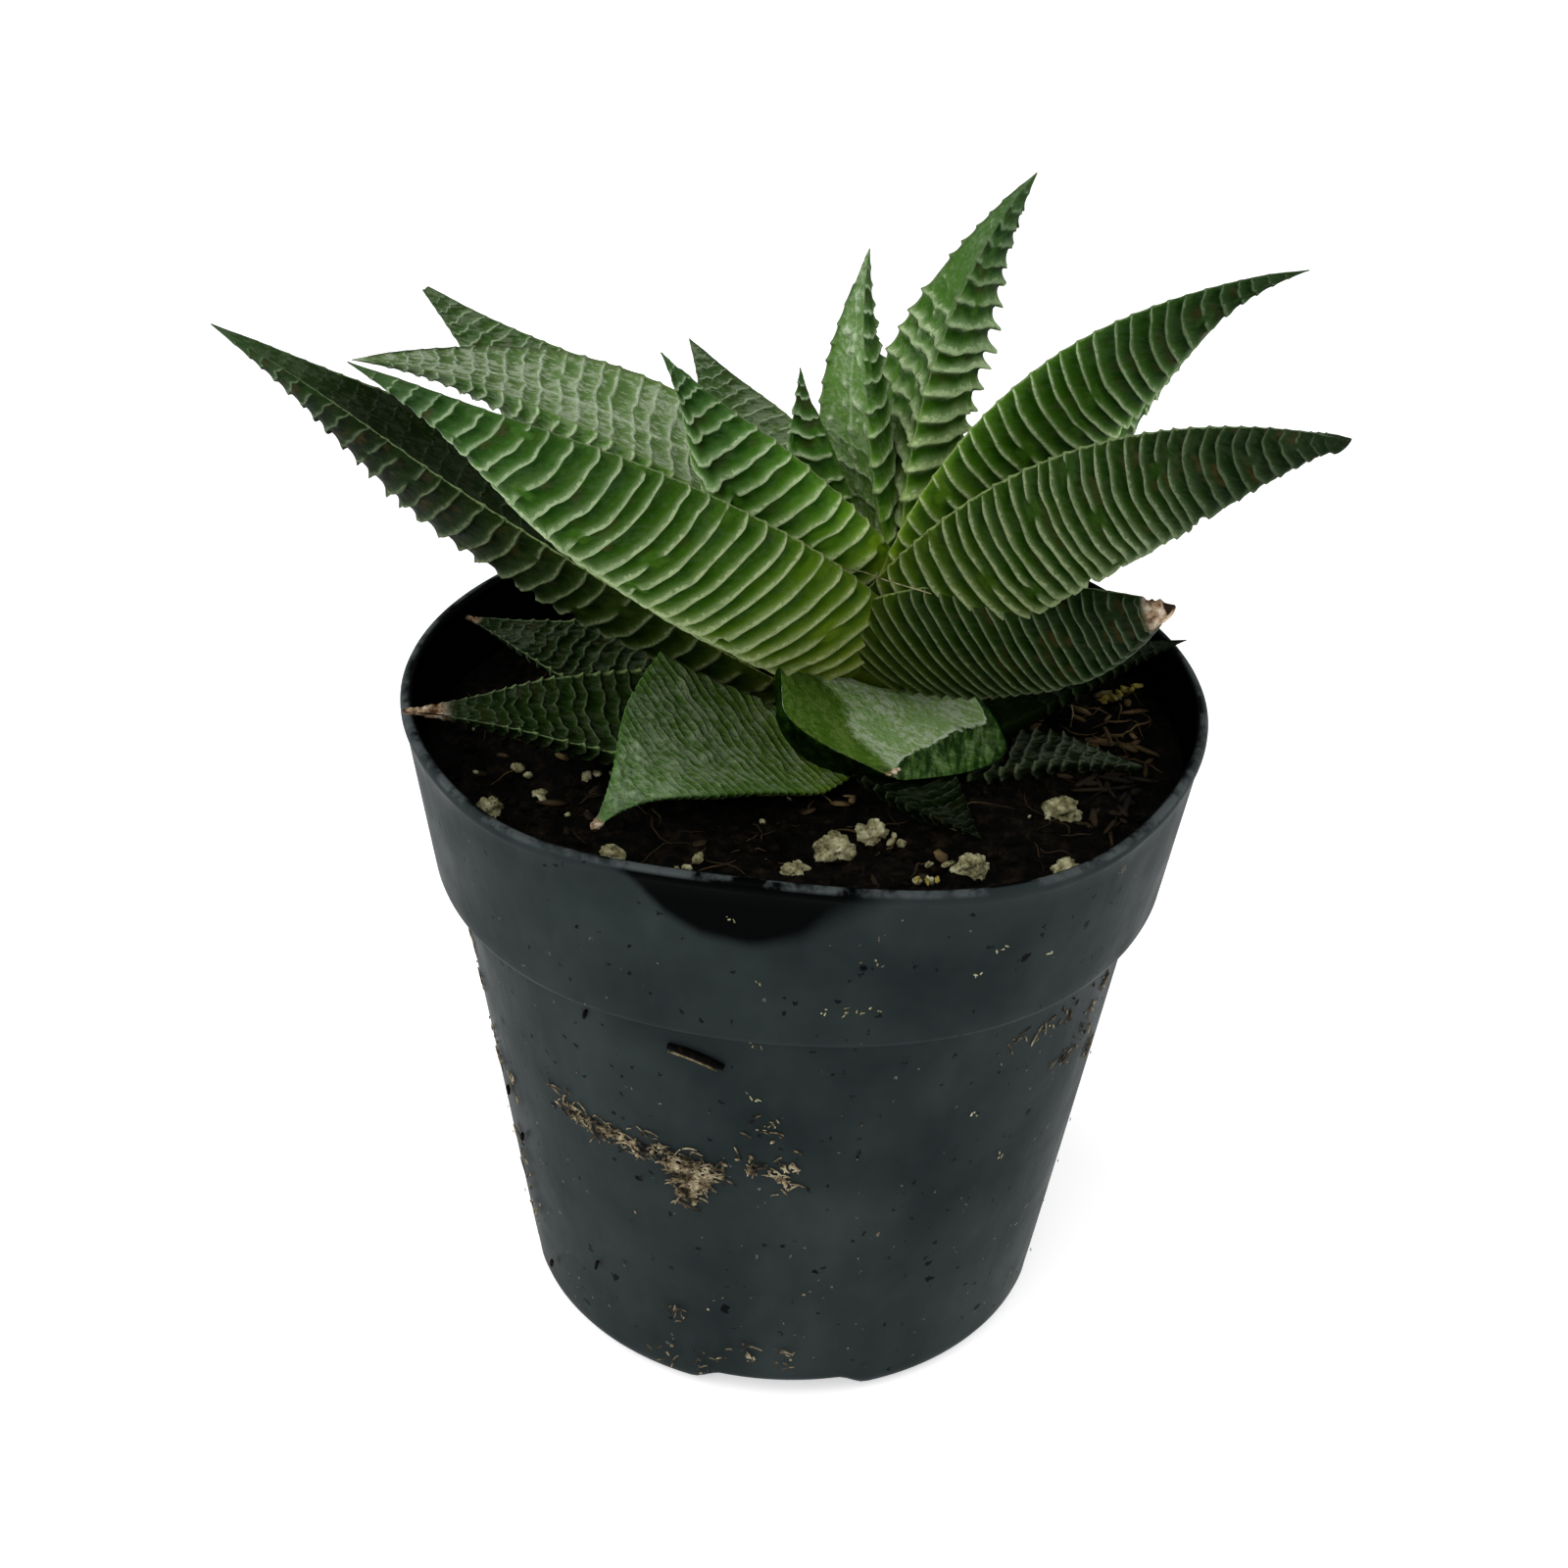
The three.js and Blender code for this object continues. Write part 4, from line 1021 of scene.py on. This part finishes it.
def channel_rise(x, y):
    """How far the floor is arched up at a point."""
    quarter = math.tau / CHANNEL_COUNT
    turn = math.atan2(y, x)
    turn -= round(turn / quarter) * quarter
    out, aside = math.hypot(x, y) * math.cos(turn), abs(math.hypot(x, y) * math.sin(turn))
    arch = 1 - smooth_step(CHANNEL_HALF - 3.5, CHANNEL_HALF + 0.5, aside)
    return float(CHANNEL_RISE * arch * smooth_step(CHANNEL_FROM - 1.5, CHANNEL_FROM + 2, out))


bm = turned(outline, POT_STEPS)
inner_layer, rim_layer, dark_reflection_layer = map(bm.verts.layers.float.new, ("inner", "rim", "wiped"))
for vert in bm.verts:
    x, y, z = vert.co
    radius = math.hypot(x, y)
    angle = math.degrees(math.atan2(y, x))
    # The inner wall, which is painted near-black as shade.
    vert[inner_layer] = float(radius < pot_radius(z) - INSIDE_FROM and z > CORNER + 0.2)
    # The rim's top, which gets a painted highlight.
    vert[rim_layer] = float(z > RIM_HIGHLIGHT_HEIGHT and radius > RIM_HIGHLIGHT_RADIUS)
    # The front patch that gets a painted dark reflection.
    vert[dark_reflection_layer] = dark_reflection_at(angle, z)
    if z < CHANNEL_FADE:
        vert.co.z += channel_rise(x, y) * (1 - z / CHANNEL_FADE)
    if radius > 1:
        vert.co.xy *= 1 + dent_at(angle, z) / radius
fine_pot = add_piece(bm, "fine_pot", POT_PLASTIC, "pot_plastic", "pot")

# %% Drainage holes
bm = bmesh.new()
for i in range(CHANNEL_COUNT):
    rod_place = Matrix.Rotation(math.tau / CHANNEL_COUNT * i, 4, "Z") @ Matrix.Translation((HOLE_AT, 0, 0))
    bmesh.ops.create_cone(
        bm, cap_ends=True, segments=32, radius1=HOLE_RADIUS, radius2=HOLE_RADIUS, depth=20, matrix=rod_place
    )
bmesh.ops.scale(bm, vec=(MM, MM, MM), verts=bm.verts[:])
rods = put_in_scene("rods", bpy.data.meshes.new("rods"))
bm.to_mesh(rods.data)
bm.free()
cut = fine_pot.modifiers.new("holes", "BOOLEAN")
cut.operation = "DIFFERENCE"
cut.solver = "EXACT"
cut.object = rods
cut_mesh = final_mesh(fine_pot)
fine_pot.modifiers.clear()
fine_pot.data = cut_mesh
bpy.data.objects.remove(rods)
fine_pot.data.set_sharp_from_angle(angle=SHARP_ANGLE)
print("pot with holes:", len(fine_pot.data.polygons), "faces")

# %% [markdown]
# ## Soil
# Potting mix is dark peat with bark crumbs, short brown fibres and grains of white perlite. The bed is one
# turned shape with many rings on top, whose points are raised by noise at three scales. What lies loose on
# it is added as small lumps and strands, a few sides each, because there are hundreds.

# %% The soil's finish
peat = Finish("soil_mix", specular=0.04)
colour = peat.ramp(
    peat.clouds(420, 5, 0.7),
    (0.35, (0.0007, 0.0006, 0.0005)),
    (0.50, (0.0024, 0.0019, 0.0014)),
    (0.62, (0.0085, 0.0060, 0.0036)),
    (0.76, (0.0300, 0.0190, 0.0100)),
)
threads = peat.clouds(700, 4, 0.7, peat.stretched((1, 0.2, 1)))
colour = peat.mix(peat.window(threads, 0.60, 0.72, 0, 0.4), colour, (0.034, 0.021, 0.010))
crumb = peat.bump(peat.clouds(1600, 5, 0.7), 0.0006, 0.8)
SOIL_MIX = peat.done(colour, peat.clouds(200, 3), 0.62, 0.95, crumb)

# %% Bed of soil
SOIL_BOTTOM = 5.0
SOIL_LEVEL = 83.6
SOIL_TILT = 0.028
SOIL_SWELL = 0.7
SOIL_STEPS = 240
SOIL_RINGS = 70
SOIL_GAP = 0.25
# Heights of the points up the side of the bed, which follows the pot's inside.
SOIL_SIDE = [SOIL_BOTTOM + 2, 20, 35, 50, 60, BODY_TOP - 0.5, COLLAR_FOOT + 1.2, 73, 77, 80, 82]
# The surface's roughness as noise: how wide a bump is, how high, and where in the noise it is read.
ROUGHNESS = [(3.2, 0.75, 1.5), (1.3, 0.5, 4.5), (0.6, 0.22, 7.5)]
# Towards the wall the top drops a little, over a width.
WALL_DROP = 0.6
WALL_DROP_WIDTH = 3


def soil_height(x, y):
    """The top of the bed without its roughness."""
    swell = math.sin(x / 8 + 1) * math.cos(y / 7) + 0.5 * math.sin(x / 3.3 + y / 4.1)
    return SOIL_LEVEL + SOIL_TILT * x + SOIL_SWELL * swell


def soil_roughness(x, y):
    """Uneven crumb on top of the swell."""
    return sum(high * noise.noise(Vector((x / wide, y / wide, at))) for wide, high, at in ROUGHNESS)


inside = WALL + SOIL_GAP
top_radius = pot_radius(SOIL_LEVEL) - inside
outline = [(0, SOIL_BOTTOM)]
outline += between(outline[0], (pot_radius(SOIL_BOTTOM) - inside - 2, SOIL_BOTTOM), 5)
outline += [(pot_radius(z) - inside, z) for z in SOIL_SIDE]
outline += [(top_radius * (1 - i / SOIL_RINGS), SOIL_LEVEL) for i in range(SOIL_RINGS + 1)]
bm = turned(outline, SOIL_STEPS)
for vert in bm.verts:
    x, y, z = vert.co
    radius = math.hypot(x, y)
    if radius > 1:
        vert.co.xy *= 1 + dent_at(math.degrees(math.atan2(y, x)), z) / radius
    if z > SOIL_LEVEL - 0.1:
        at_wall = float(smooth_step(top_radius - WALL_DROP_WIDTH, top_radius, radius))
        vert.co.z = soil_height(x, y) + soil_roughness(x, y) - WALL_DROP * at_wall
add_piece(bm, "fine_soil", SOIL_MIX, "soil_mix", "soil")

# %% [markdown]
# ## What lies on the soil
# Every lump is a rough ball with each of its points pushed in or out, squashed and turned by its own random
# draw. Its middle lies at the surface or a little above it, so that most of it shows.

# %% Lumps
SOIL_REACH = 47.5
CRUMB_COUNT = 800
lump_random = np.random.default_rng(7)


def add_lump(bm, centre, size, rough, detail=1):
    """One uneven lump. Its size is three half widths in millimetres."""
    made = bmesh.ops.create_icosphere(bm, subdivisions=detail, radius=1)
    turn = Matrix.Rotation(lump_random.uniform(0, math.tau), 4, "Z")
    turn = turn @ Matrix.Rotation(lump_random.uniform(-0.5, 0.5), 4, "X")
    for vert in made["verts"]:
        vert.co *= 1 + lump_random.uniform(-rough, rough)
        vert.co = turn @ Vector([along * half for along, half in zip(vert.co, size)]) + Vector(centre)


def scatter_on_soil(count, reach, clear):
    """Random places on the soil, out to a radius and clear of the middle."""
    places = []
    while len(places) < count:
        x, y = lump_random.uniform(-reach, reach, 2)
        if clear < math.hypot(x, y) < reach:
            places.append((x, y, soil_height(x, y) + soil_roughness(x, y)))
    return places


def strew(bm, places, lift, smallest, largest, rough):
    """A lump of a random size at each place."""
    for x, y, z in places:
        add_lump(bm, (x, y, z + lift), lump_random.uniform(smallest, largest), rough)


bm = bmesh.new()
for x, y, z in scatter_on_soil(CRUMB_COUNT, SOIL_REACH, 6):
    radius = lump_random.uniform(0.35, 1.1) ** 1.3
    size = radius * lump_random.uniform((0.8, 0.5, 0.35), (1.5, 1.0, 0.7))
    add_lump(bm, (x, y, z + 0.1 * radius), size, 0.25)
add_piece(bm, "soil_crumbs", SOIL_MIX, "soil_mix")

# %% [markdown]
# ## Bark chips and fibres
# Flat chips of bark and thin fibres lie loose on the peat, many of them heaped by the rim at the right.
# Both have one brown finish. A fibre is a strand that follows the ground, sways from side to side and may
# lift in its middle.

# %% Finish of bark and fibres
bark = Finish("bark_and_fibre", specular=0.1)
colour = bark.ramp(
    bark.clouds(60, 2),
    (0.35, (0.007, 0.005, 0.003)),
    (0.48, (0.026, 0.017, 0.008)),
    (0.60, (0.090, 0.058, 0.024)),
    (0.72, (0.300, 0.220, 0.095)),
)
grain = bark.clouds(900, 4, 0.7)
colour = bark.mix(bark.window(grain, 0.5, 0.7, 0, 0.6), colour, (0.012, 0.008, 0.004))
BARK = bark.done(colour, grain, 0.6, 0.9, bark.bump(grain, 0.0003, 0.7))

# %% Fibres
FIBRE_COUNT = 110
FIBRE_STEPS = 9
# Fibres further out than this may lift off the ground.
LIFT_FROM = 32
FIBRES_BY_RIM = [
    (44, 3), (42, -6), (45, 9), (40, -12), (43, -2), (38, -18), (41, 14), (36, -24), (44, -9), (39, 4),
]


def fibre(start, heading, length, radius, lift):
    """A strand that lies on the soil, bends from side to side and may rise in its middle."""
    x, y = start
    bend = lump_random.uniform(-1.2, 1.2)
    wave = lump_random.uniform(0, 6)
    step = length / (FIBRE_STEPS - 1)
    points = []
    for i in range(FIBRE_STEPS):
        share = i / (FIBRE_STEPS - 1)
        angle = heading + bend * share + 0.35 * math.sin(5 * share + wave)
        ground = soil_height(x, y) + max(0.0, soil_roughness(x, y))
        z = ground + radius + lift * math.sin(math.pi * share) ** 2
        points.append((x, y, z, radius * (1 - 0.6 * abs(2 * share - 1) ** 3)))
        x += math.cos(angle) * step
        y += math.sin(angle) * step
        if math.hypot(x, y) > SOIL_REACH:
            break
    return points


fibres = []
for x, y, _ in scatter_on_soil(FIBRE_COUNT, 45, 9):
    length, radius = lump_random.uniform(3, 9), lump_random.uniform(0.07, 0.17)
    lift = lump_random.uniform(0, 0.8) if math.hypot(x, y) > LIFT_FROM else 0.0
    fibres.append(fibre((x, y), lump_random.uniform(0, math.tau), length, radius, lift))
for x, y in FIBRES_BY_RIM * 2:
    x += lump_random.uniform(-3, 3)
    y += lump_random.uniform(-3, 3)
    heading = math.atan2(y, x) + lump_random.uniform(0.6, 2.4)
    fibres.append(fibre((x, y), heading, lump_random.uniform(3, 7), lump_random.uniform(0.05, 0.13), 0.6))
add_strands("soil_fibres", [one for one in fibres if len(one) > 3], BARK, "soil_mix", sides=0)

# %% Bark chips
CHIP_REACH = 46.5
CHIPS_ALL_OVER = 70
CHIPS_BY_RIM = 70

bm = bmesh.new()
strew(bm, scatter_on_soil(CHIPS_ALL_OVER, CHIP_REACH, 8), 0.25, (0.9, 0.4, 0.15), (2.4, 1.1, 0.4), 0.22)
for _ in range(CHIPS_BY_RIM):
    x, y = 40 + lump_random.normal(0, 3.2), -10 + lump_random.normal(0, 10)
    if math.hypot(x, y) < CHIP_REACH:
        size = lump_random.uniform((0.9, 0.25, 0.12), (3.0, 0.7, 0.3))
        add_lump(bm, (x, y, soil_height(x, y) + lump_random.uniform(0.3, 1.6)), size, 0.22)
add_piece(bm, "bark_chips", BARK, "soil_mix")

# %% [markdown]
# ## Perlite
# Perlite is puffed volcanic glass: cream-white, very light, and full of broken bubbles. The larger grains
# are pieces of their own where the photograph shows them. A fine ball is pushed in where noise says a
# bubble broke, and the finish adds yellow stains and dark pits.

# %% Perlite
glass = Finish("perlite", specular=0.2)
stain = glass.clouds(500, 4, 0.65)
colour = glass.ramp(
    stain,
    (0.32, (0.05, 0.045, 0.020)),
    (0.46, (0.22, 0.205, 0.10)),
    (0.60, (0.42, 0.40, 0.24)),
    (0.75, (0.70, 0.68, 0.52)),
)
pits = glass.window(glass.cells(1500), 0.05, 0.35)
colour = glass.mix(glass.math("SUBTRACT", 0.75, pits, clamp=True), colour, (0.09, 0.08, 0.04))
PERLITE = glass.done(colour, stain, 0.75, 0.95, glass.bump(pits, 0.0004, 0.8))

# Where the grains lie, with their radius, and where small bits of perlite lie three together.
GRAINS = [
    (4.3, -28.8, 2.4), (9, -24, 1.9), (21, -32, 2), (33, -19.5, 2.2), (32.5, -33, 1.6),
    (-0.5, -33, 1.5), (-39.5, -20, 1.9), (-23, -30.5, 1.6), (24, 31, 2.1),
]
SMALL_GRAINS = [
    (-36, -10), (-34, -16.5), (-27.5, -12), (14.7, -36), (17, -31), (-13, -32.6), (42.8, 11), (11.5, -25.5),
]
LOOSE_GRIT = 46

for number, (x, y, radius) in enumerate(GRAINS, 1):
    bm = bmesh.new()
    bmesh.ops.create_icosphere(bm, subdivisions=4, radius=radius)
    centre = Vector((x, y, soil_height(x, y) + radius / 4))
    for vert in bm.verts:
        way = vert.co.normalized()
        lobes = noise.noise(way * 1.5 + Vector((1.7 * number, 0, 0)))
        corners = noise.noise(way * 3.2 + Vector((0, 1.3 * number, 0)))
        bubbles = max(0.0, noise.noise(way * 6.5 + Vector((0, 0, number))))
        vert.co *= 0.90 + 0.45 * lobes + 0.22 * corners - 0.30 * bubbles
        vert.co = Vector((vert.co.x * 1.1, vert.co.y, vert.co.z * 0.85)) + centre
    add_piece(bm, f"fine_perlite_{number}", PERLITE, "perlite", f"perlite_{number}")

bm = bmesh.new()
for x, y in SMALL_GRAINS:
    for _ in range(3):
        dx, dy = lump_random.uniform(-1.3, 1.3, 2)
        size = lump_random.uniform((0.4, 0.35, 0.3), (1.1, 0.8, 0.6))
        add_lump(bm, (x + dx, y + dy, soil_height(x + dx, y + dy) + 0.5), size, 0.2, detail=2)
strew(bm, scatter_on_soil(LOOSE_GRIT, 46, 10), 0.2, (0.2, 0.2, 0.15), (0.6, 0.5, 0.4), 0.25)
add_piece(bm, "perlite_bits", PERLITE, "perlite")

# %% [markdown]
# ## Dried dirt on the pot
# Splashed soil has dried on the outside: a crusty brown trail across the front, a few clusters near the
# collar and the foot, and single specks. These stand a little proud, so they are made of lumps and short
# strands that lie on the wall. Each place is given by its angle round the pot, in degrees, and its height.

# %% The dirt's finish and places
dirt = Finish("dried_dirt", specular=0.05)
colour = dirt.ramp(
    dirt.clouds(520, 3, 0.6),
    (0.36, (0.012, 0.010, 0.007)),
    (0.46, (0.070, 0.054, 0.032)),
    (0.56, (0.230, 0.185, 0.110)),
    (0.68, (0.450, 0.390, 0.260)),
)
grain = dirt.clouds(2200, 3, 0.7)
colour = dirt.mix(dirt.window(grain, 0.5, 0.7, 0, 0.5), colour, (0.020, 0.014, 0.009))
DRIED_DIRT = dirt.done(colour, grain, 0.75, 0.95, dirt.bump(grain, 0.0002, 0.7))

TRAIL = [
    (-132, 46.3), (-129.5, 45.6), (-127, 45), (-124.5, 44.6), (-122, 44.4), (-119, 44.7), (-117, 44.8),
    (-113, 45.2), (-111, 44), (-108.5, 42.5), (-107, 40), (-107, 38.3), (-105, 41.5), (-102, 43.8),
    (-97, 45.5), (-91, 45.7), (-90, 42.9),
]
CLUMP = [(-109, 42.6), (-107, 41), (-106.5, 43.5), (-104.5, 42.4), (-108, 39.4)]
CLUSTERS = [
    (-52.6, 61.9), (-46, 61), (-39, 60.7), (-32, 53), (-28, 61), (-37, 52), (-30, 57), (-25, 48),
    (-160, 44.7), (-158, 41.8), (-153, 40), (-155, 28), (-154, 22), (-155, 15.7), (-161, 52), (-163, 58),
    (-114.5, 5.5), (-106, 6.3), (-97, 9.4), (-89, 9), (-111.5, 14.4), (-94, 52.5),
]
PALE_CHIPS = [
    (-99, 86.7), (-63, 82.7), (-66, 78.9), (-80, 81.8), (-95, 77.8), (-86, 73.8), (-83.5, 74.1),
    (-81.5, 74.3), (-79.5, 74.3), (-96, 66.1), (-94, 52.8), (-95, 57), (-49, 40), (-58.5, 50.3),
    (-93, 53.4), (-55, 79.5),
]
LOOSE_FLAKES = 110
# The straight dark stick and the crust along it, each with angle, height, slope and length. Then more
# slivers, with angle, height and length.
STICK = (-105.0, 63.2, -0.25, 7.4)
STICK_CRUST = (-105.6, 62.3, -0.25, 6.4)
SLIVERS = [(-124, 64.8, 1.6), (-155, 37, 2.2), (-151.5, 30.5, 1.8), (-130, 17.2, 2.0), (-149, 8, 1.8)]
dirt_random = np.random.default_rng(11)


# %% Dried dirt
def on_wall(angle, z, proud=0.0):
    """A point of the pot's outer wall and the way out of it."""
    radius = pot_radius(z) + dent_at(angle, z) + proud
    way = Vector((math.cos(math.radians(angle)), math.sin(math.radians(angle)), 0))
    return way * radius + Vector((0, 0, z)), way


def near_places(places, count, angle_spread, z_spread):
    """Places drawn at random round each given one, a few for each."""
    return [
        (angle + dirt_random.normal(0, angle_spread), z + dirt_random.normal(0, z_spread))
        for angle, z in places for _ in range(count)
    ]


def add_flake(bm, angle, z, proud, smallest, largest, scale=1.0):
    """One flat crumb of a random size that lies on the wall."""
    place, way = on_wall(angle, z, proud)
    size = scale * dirt_random.uniform(smallest, largest)
    made = bmesh.ops.create_icosphere(bm, subdivisions=1, radius=1)
    lie = way.to_track_quat("Z", "Y").to_matrix().to_4x4()
    lie = lie @ Matrix.Rotation(dirt_random.uniform(0, math.tau), 4, "Z")
    for vert in made["verts"]:
        rough = 1 + dirt_random.uniform(-0.25, 0.25)
        x, y, up = vert.co
        vert.co = place + lie @ Vector((x * size[0] * rough, y * size[1] * rough, up * size[2]))


flakes = [(*place, 0.8) for place in near_places(TRAIL, 9, 1.1, 0.9)]
flakes += [(*place, 0.6) for place in near_places(CLUSTERS, 5, 1.6, 1.4)]
for _ in range(LOOSE_FLAKES):
    flakes.append((dirt_random.uniform(-180, 180), dirt_random.uniform(4, 62), 0.4))
bm = bmesh.new()
for angle, z, scale in flakes:
    add_flake(bm, angle, z, 0.05, (0.25, 0.12, 0.10), (1.0, 0.4, 0.25), scale)
add_piece(bm, "pot_dirt", DRIED_DIRT, "soil_mix")


# %% Threads, slivers and chips on the pot
def wall_strand(angle, z, slope, length, radius):
    """A short strand that clings to the wall, bent a little."""
    strand = []
    for share in np.linspace(-0.5, 0.5, 5):
        turn = math.degrees(length * share * math.cos(slope) / pot_radius(z))
        bow = 0.12 * min(length, 3.0) * math.cos(3 * share)
        place, _ = on_wall(angle + turn, z + length * share * math.sin(slope) + bow, 0.7 * radius)
        strand.append((*place, radius * (1 - 1.2 * abs(share) ** 2)))
    return strand


wall_threads = []
for angle, z in TRAIL * 9 + CLUMP * 26 + CLUSTERS * 4:
    angle += dirt_random.normal(0, 1.6)
    z += dirt_random.normal(0, 1.2)
    slope, length = dirt_random.uniform(-1.3, 1.3), dirt_random.uniform(0.8, 2.8)
    wall_threads.append(wall_strand(angle, z, slope, length, dirt_random.uniform(0.06, 0.15)))
wall_threads.append(wall_strand(*STICK_CRUST, 0.25))
add_strands("dirt_threads", wall_threads, DRIED_DIRT, "soil_mix", sides=0)

slivers = [wall_strand(*STICK, 0.55)]
slivers += [wall_strand(angle, z, 1.2, length, 0.3) for angle, z, length in SLIVERS]
add_strands("dark_slivers", slivers, SOIL_MIX, "soil_mix", sides=1)

bm = bmesh.new()
for angle, z in PALE_CHIPS:
    for _ in range(3):
        chip_angle, chip_z = angle + dirt_random.normal(0, 0.7), z + dirt_random.normal(0, 0.4)
        add_flake(bm, chip_angle, chip_z, 0.03, (0.15, 0.07, 0.05), (0.5, 0.16, 0.1))
add_piece(bm, "pale_chips", PERLITE, "perlite")

# %% [markdown]
# ## Small things that caught on the plant
# A pale plant hair lies across the leaf bases. At the right of the soil a bit of yellow husk leans on a
# fibre, and a thin root stands up. The blunt front leaf ends in a dry chip, straw-coloured and crumpled:
# three small lumps that run into each other.

# %% Hair and root
HAIR_RADIUS = 0.07
HAIR = [
    (4.2, -12.6, 114.6), (6.6, -12.4, 114.2), (9.4, -14.6, 114.2), (12.2, -17.1, 114.6), (14.7, -18.0, 114.3),
]
ROOT = [(36.0, 5.0, 84.0, 0.12), (36.2, 5.2, 86.0, 0.11), (35.7, 5.0, 87.8, 0.09), (36.5, 5.2, 89.0, 0.06)]
caught = [[(*place, HAIR_RADIUS) for place in HAIR], ROOT]
add_strands("caught_strands", caught, PERLITE, "perlite", sides=1)

# %% Yellow husk
HUSK_LUMPS = 7
HUSK_BITS = [(15.3, -37.2), (16.6, -36.6), (14.2, -36.9)]


def dry_finish(name, scale, detail, roughness, stops, depth, strength):
    """A dry, fibrous finish: one pattern gives the colour, the roughness and the relief."""
    finish = Finish(name, specular=0.1)
    pattern = finish.clouds(scale, detail, roughness)
    relief = finish.bump(pattern, depth, strength)
    return finish.done(finish.ramp(pattern, *stops), pattern, 0.6, 0.9, relief)


YELLOW = ((0.35, (0.06, 0.045, 0.008)), (0.5, (0.28, 0.22, 0.04)), (0.66, (0.50, 0.42, 0.12)))
HUSK = dry_finish("yellow_husk", 900, 4, 0.65, YELLOW, 0.0003, 0.8)
bm = bmesh.new()
for step in range(HUSK_LUMPS):
    wave = math.sin(2.1 * step)
    centre = (40.5 + 0.75 * step, 9.6 + 0.5 * wave, 85.6 + 0.42 * step)
    add_lump(bm, centre, (1.0, 0.45 + 0.15 * wave, 0.4), 0.3)
for x, y in HUSK_BITS:
    add_lump(bm, (x, y, soil_height(x, y) + 1.0), (0.9, 0.3, 0.3), 0.3)
add_piece(bm, "yellow_husk", HUSK, "soil_mix")

# %% Dry chip at the front leaf's tip
CHIP_AT = (11.4, -18.2, 89.5)
# The chip's lumps: how far each lies from its middle, and the lump's size.
CHIP_LUMPS = [(0, 0, 0, 0.85), (-0.7, -0.3, -0.3, 0.6), (0.6, 0.3, 0.1, 0.5)]
STRAW = ((0.35, (0.20, 0.11, 0.05)), (0.5, (0.62, 0.46, 0.30)), (0.65, (0.80, 0.68, 0.52)))
DRY_TIP = dry_finish("dry_tip", 1300, 3, 0.55, STRAW, 0.0002, 0.7)
bm = bmesh.new()
for dx, dy, dz, size in CHIP_LUMPS:
    centre = (CHIP_AT[0] + dx, CHIP_AT[1] + dy, CHIP_AT[2] + dz)
    add_lump(bm, centre, (size, 0.6 * size, 0.45 * size), 0.2)
add_piece(bm, "dry_chip", DRY_TIP, "leaf_skin")

# %% [markdown]
# ## Floor and light
# The part stands on a plain, nearly white floor under a bright, even sky. A large soft lamp stands high at
# the front left, and a smaller soft panel on each side draws the pot's edges, as in a small product studio.
# The floor glows a little, so that it stays as pale as the sky. Nothing here belongs to the part.

# %% Floor and light
FLOOR_HALF = 4.0
FLOOR_GLOW = 0.52
SKY_STRENGTH = 0.38

studio = Finish("studio_floor", roughness=0.7, specular=0.1)
floor_colour = studio.ramp(studio.clouds(3, 2), (0.3, (0.90, 0.90, 0.90)), (0.7, (0.93, 0.93, 0.93)))
studio.feed(studio.shader.inputs["Base Color"], floor_colour)
studio.shader.inputs["Emission Color"].default_value = (1, 1, 1, 1)
studio.shader.inputs["Emission Strength"].default_value = FLOOR_GLOW

bm = bmesh.new()
bmesh.ops.create_grid(bm, x_segments=1, y_segments=1, size=FLOOR_HALF)
floor = put_in_scene("floor", bpy.data.meshes.new("floor"))
bm.to_mesh(floor.data)
bm.free()
floor.data.materials.append(studio.material)

world = bpy.data.worlds.new("studio")
world.use_nodes = True
world.node_tree.nodes["Background"].inputs["Color"].default_value = (1, 1, 1, 1)
world.node_tree.nodes["Background"].inputs["Strength"].default_value = SKY_STRENGTH
bpy.context.scene.world = world


def add_lamp(name, place, aim, size, power):
    """A square soft lamp at a place in metres, turned to what it aims at."""
    lamp = put_in_scene(name, bpy.data.lights.new(name, "AREA"))
    lamp.data.size = size
    lamp.data.energy = power
    lamp.location = place
    lamp.rotation_euler = (Vector(aim) - Vector(place)).to_track_quat("-Z", "Y").to_euler()


add_lamp("key", (-0.45, -0.65, 0.95), (0, 0, 0.08), 1.1, 8.0)
add_lamp("left panel", (-0.95, 0.15, 0.45), (0, 0, 0.07), 0.8, 4.5)
add_lamp("right panel", (0.95, 0.15, 0.45), (0, 0, 0.07), 0.8, 5.2)
bpy.context.scene.view_settings.view_transform = "Standard"
print("lamps and floor in place")
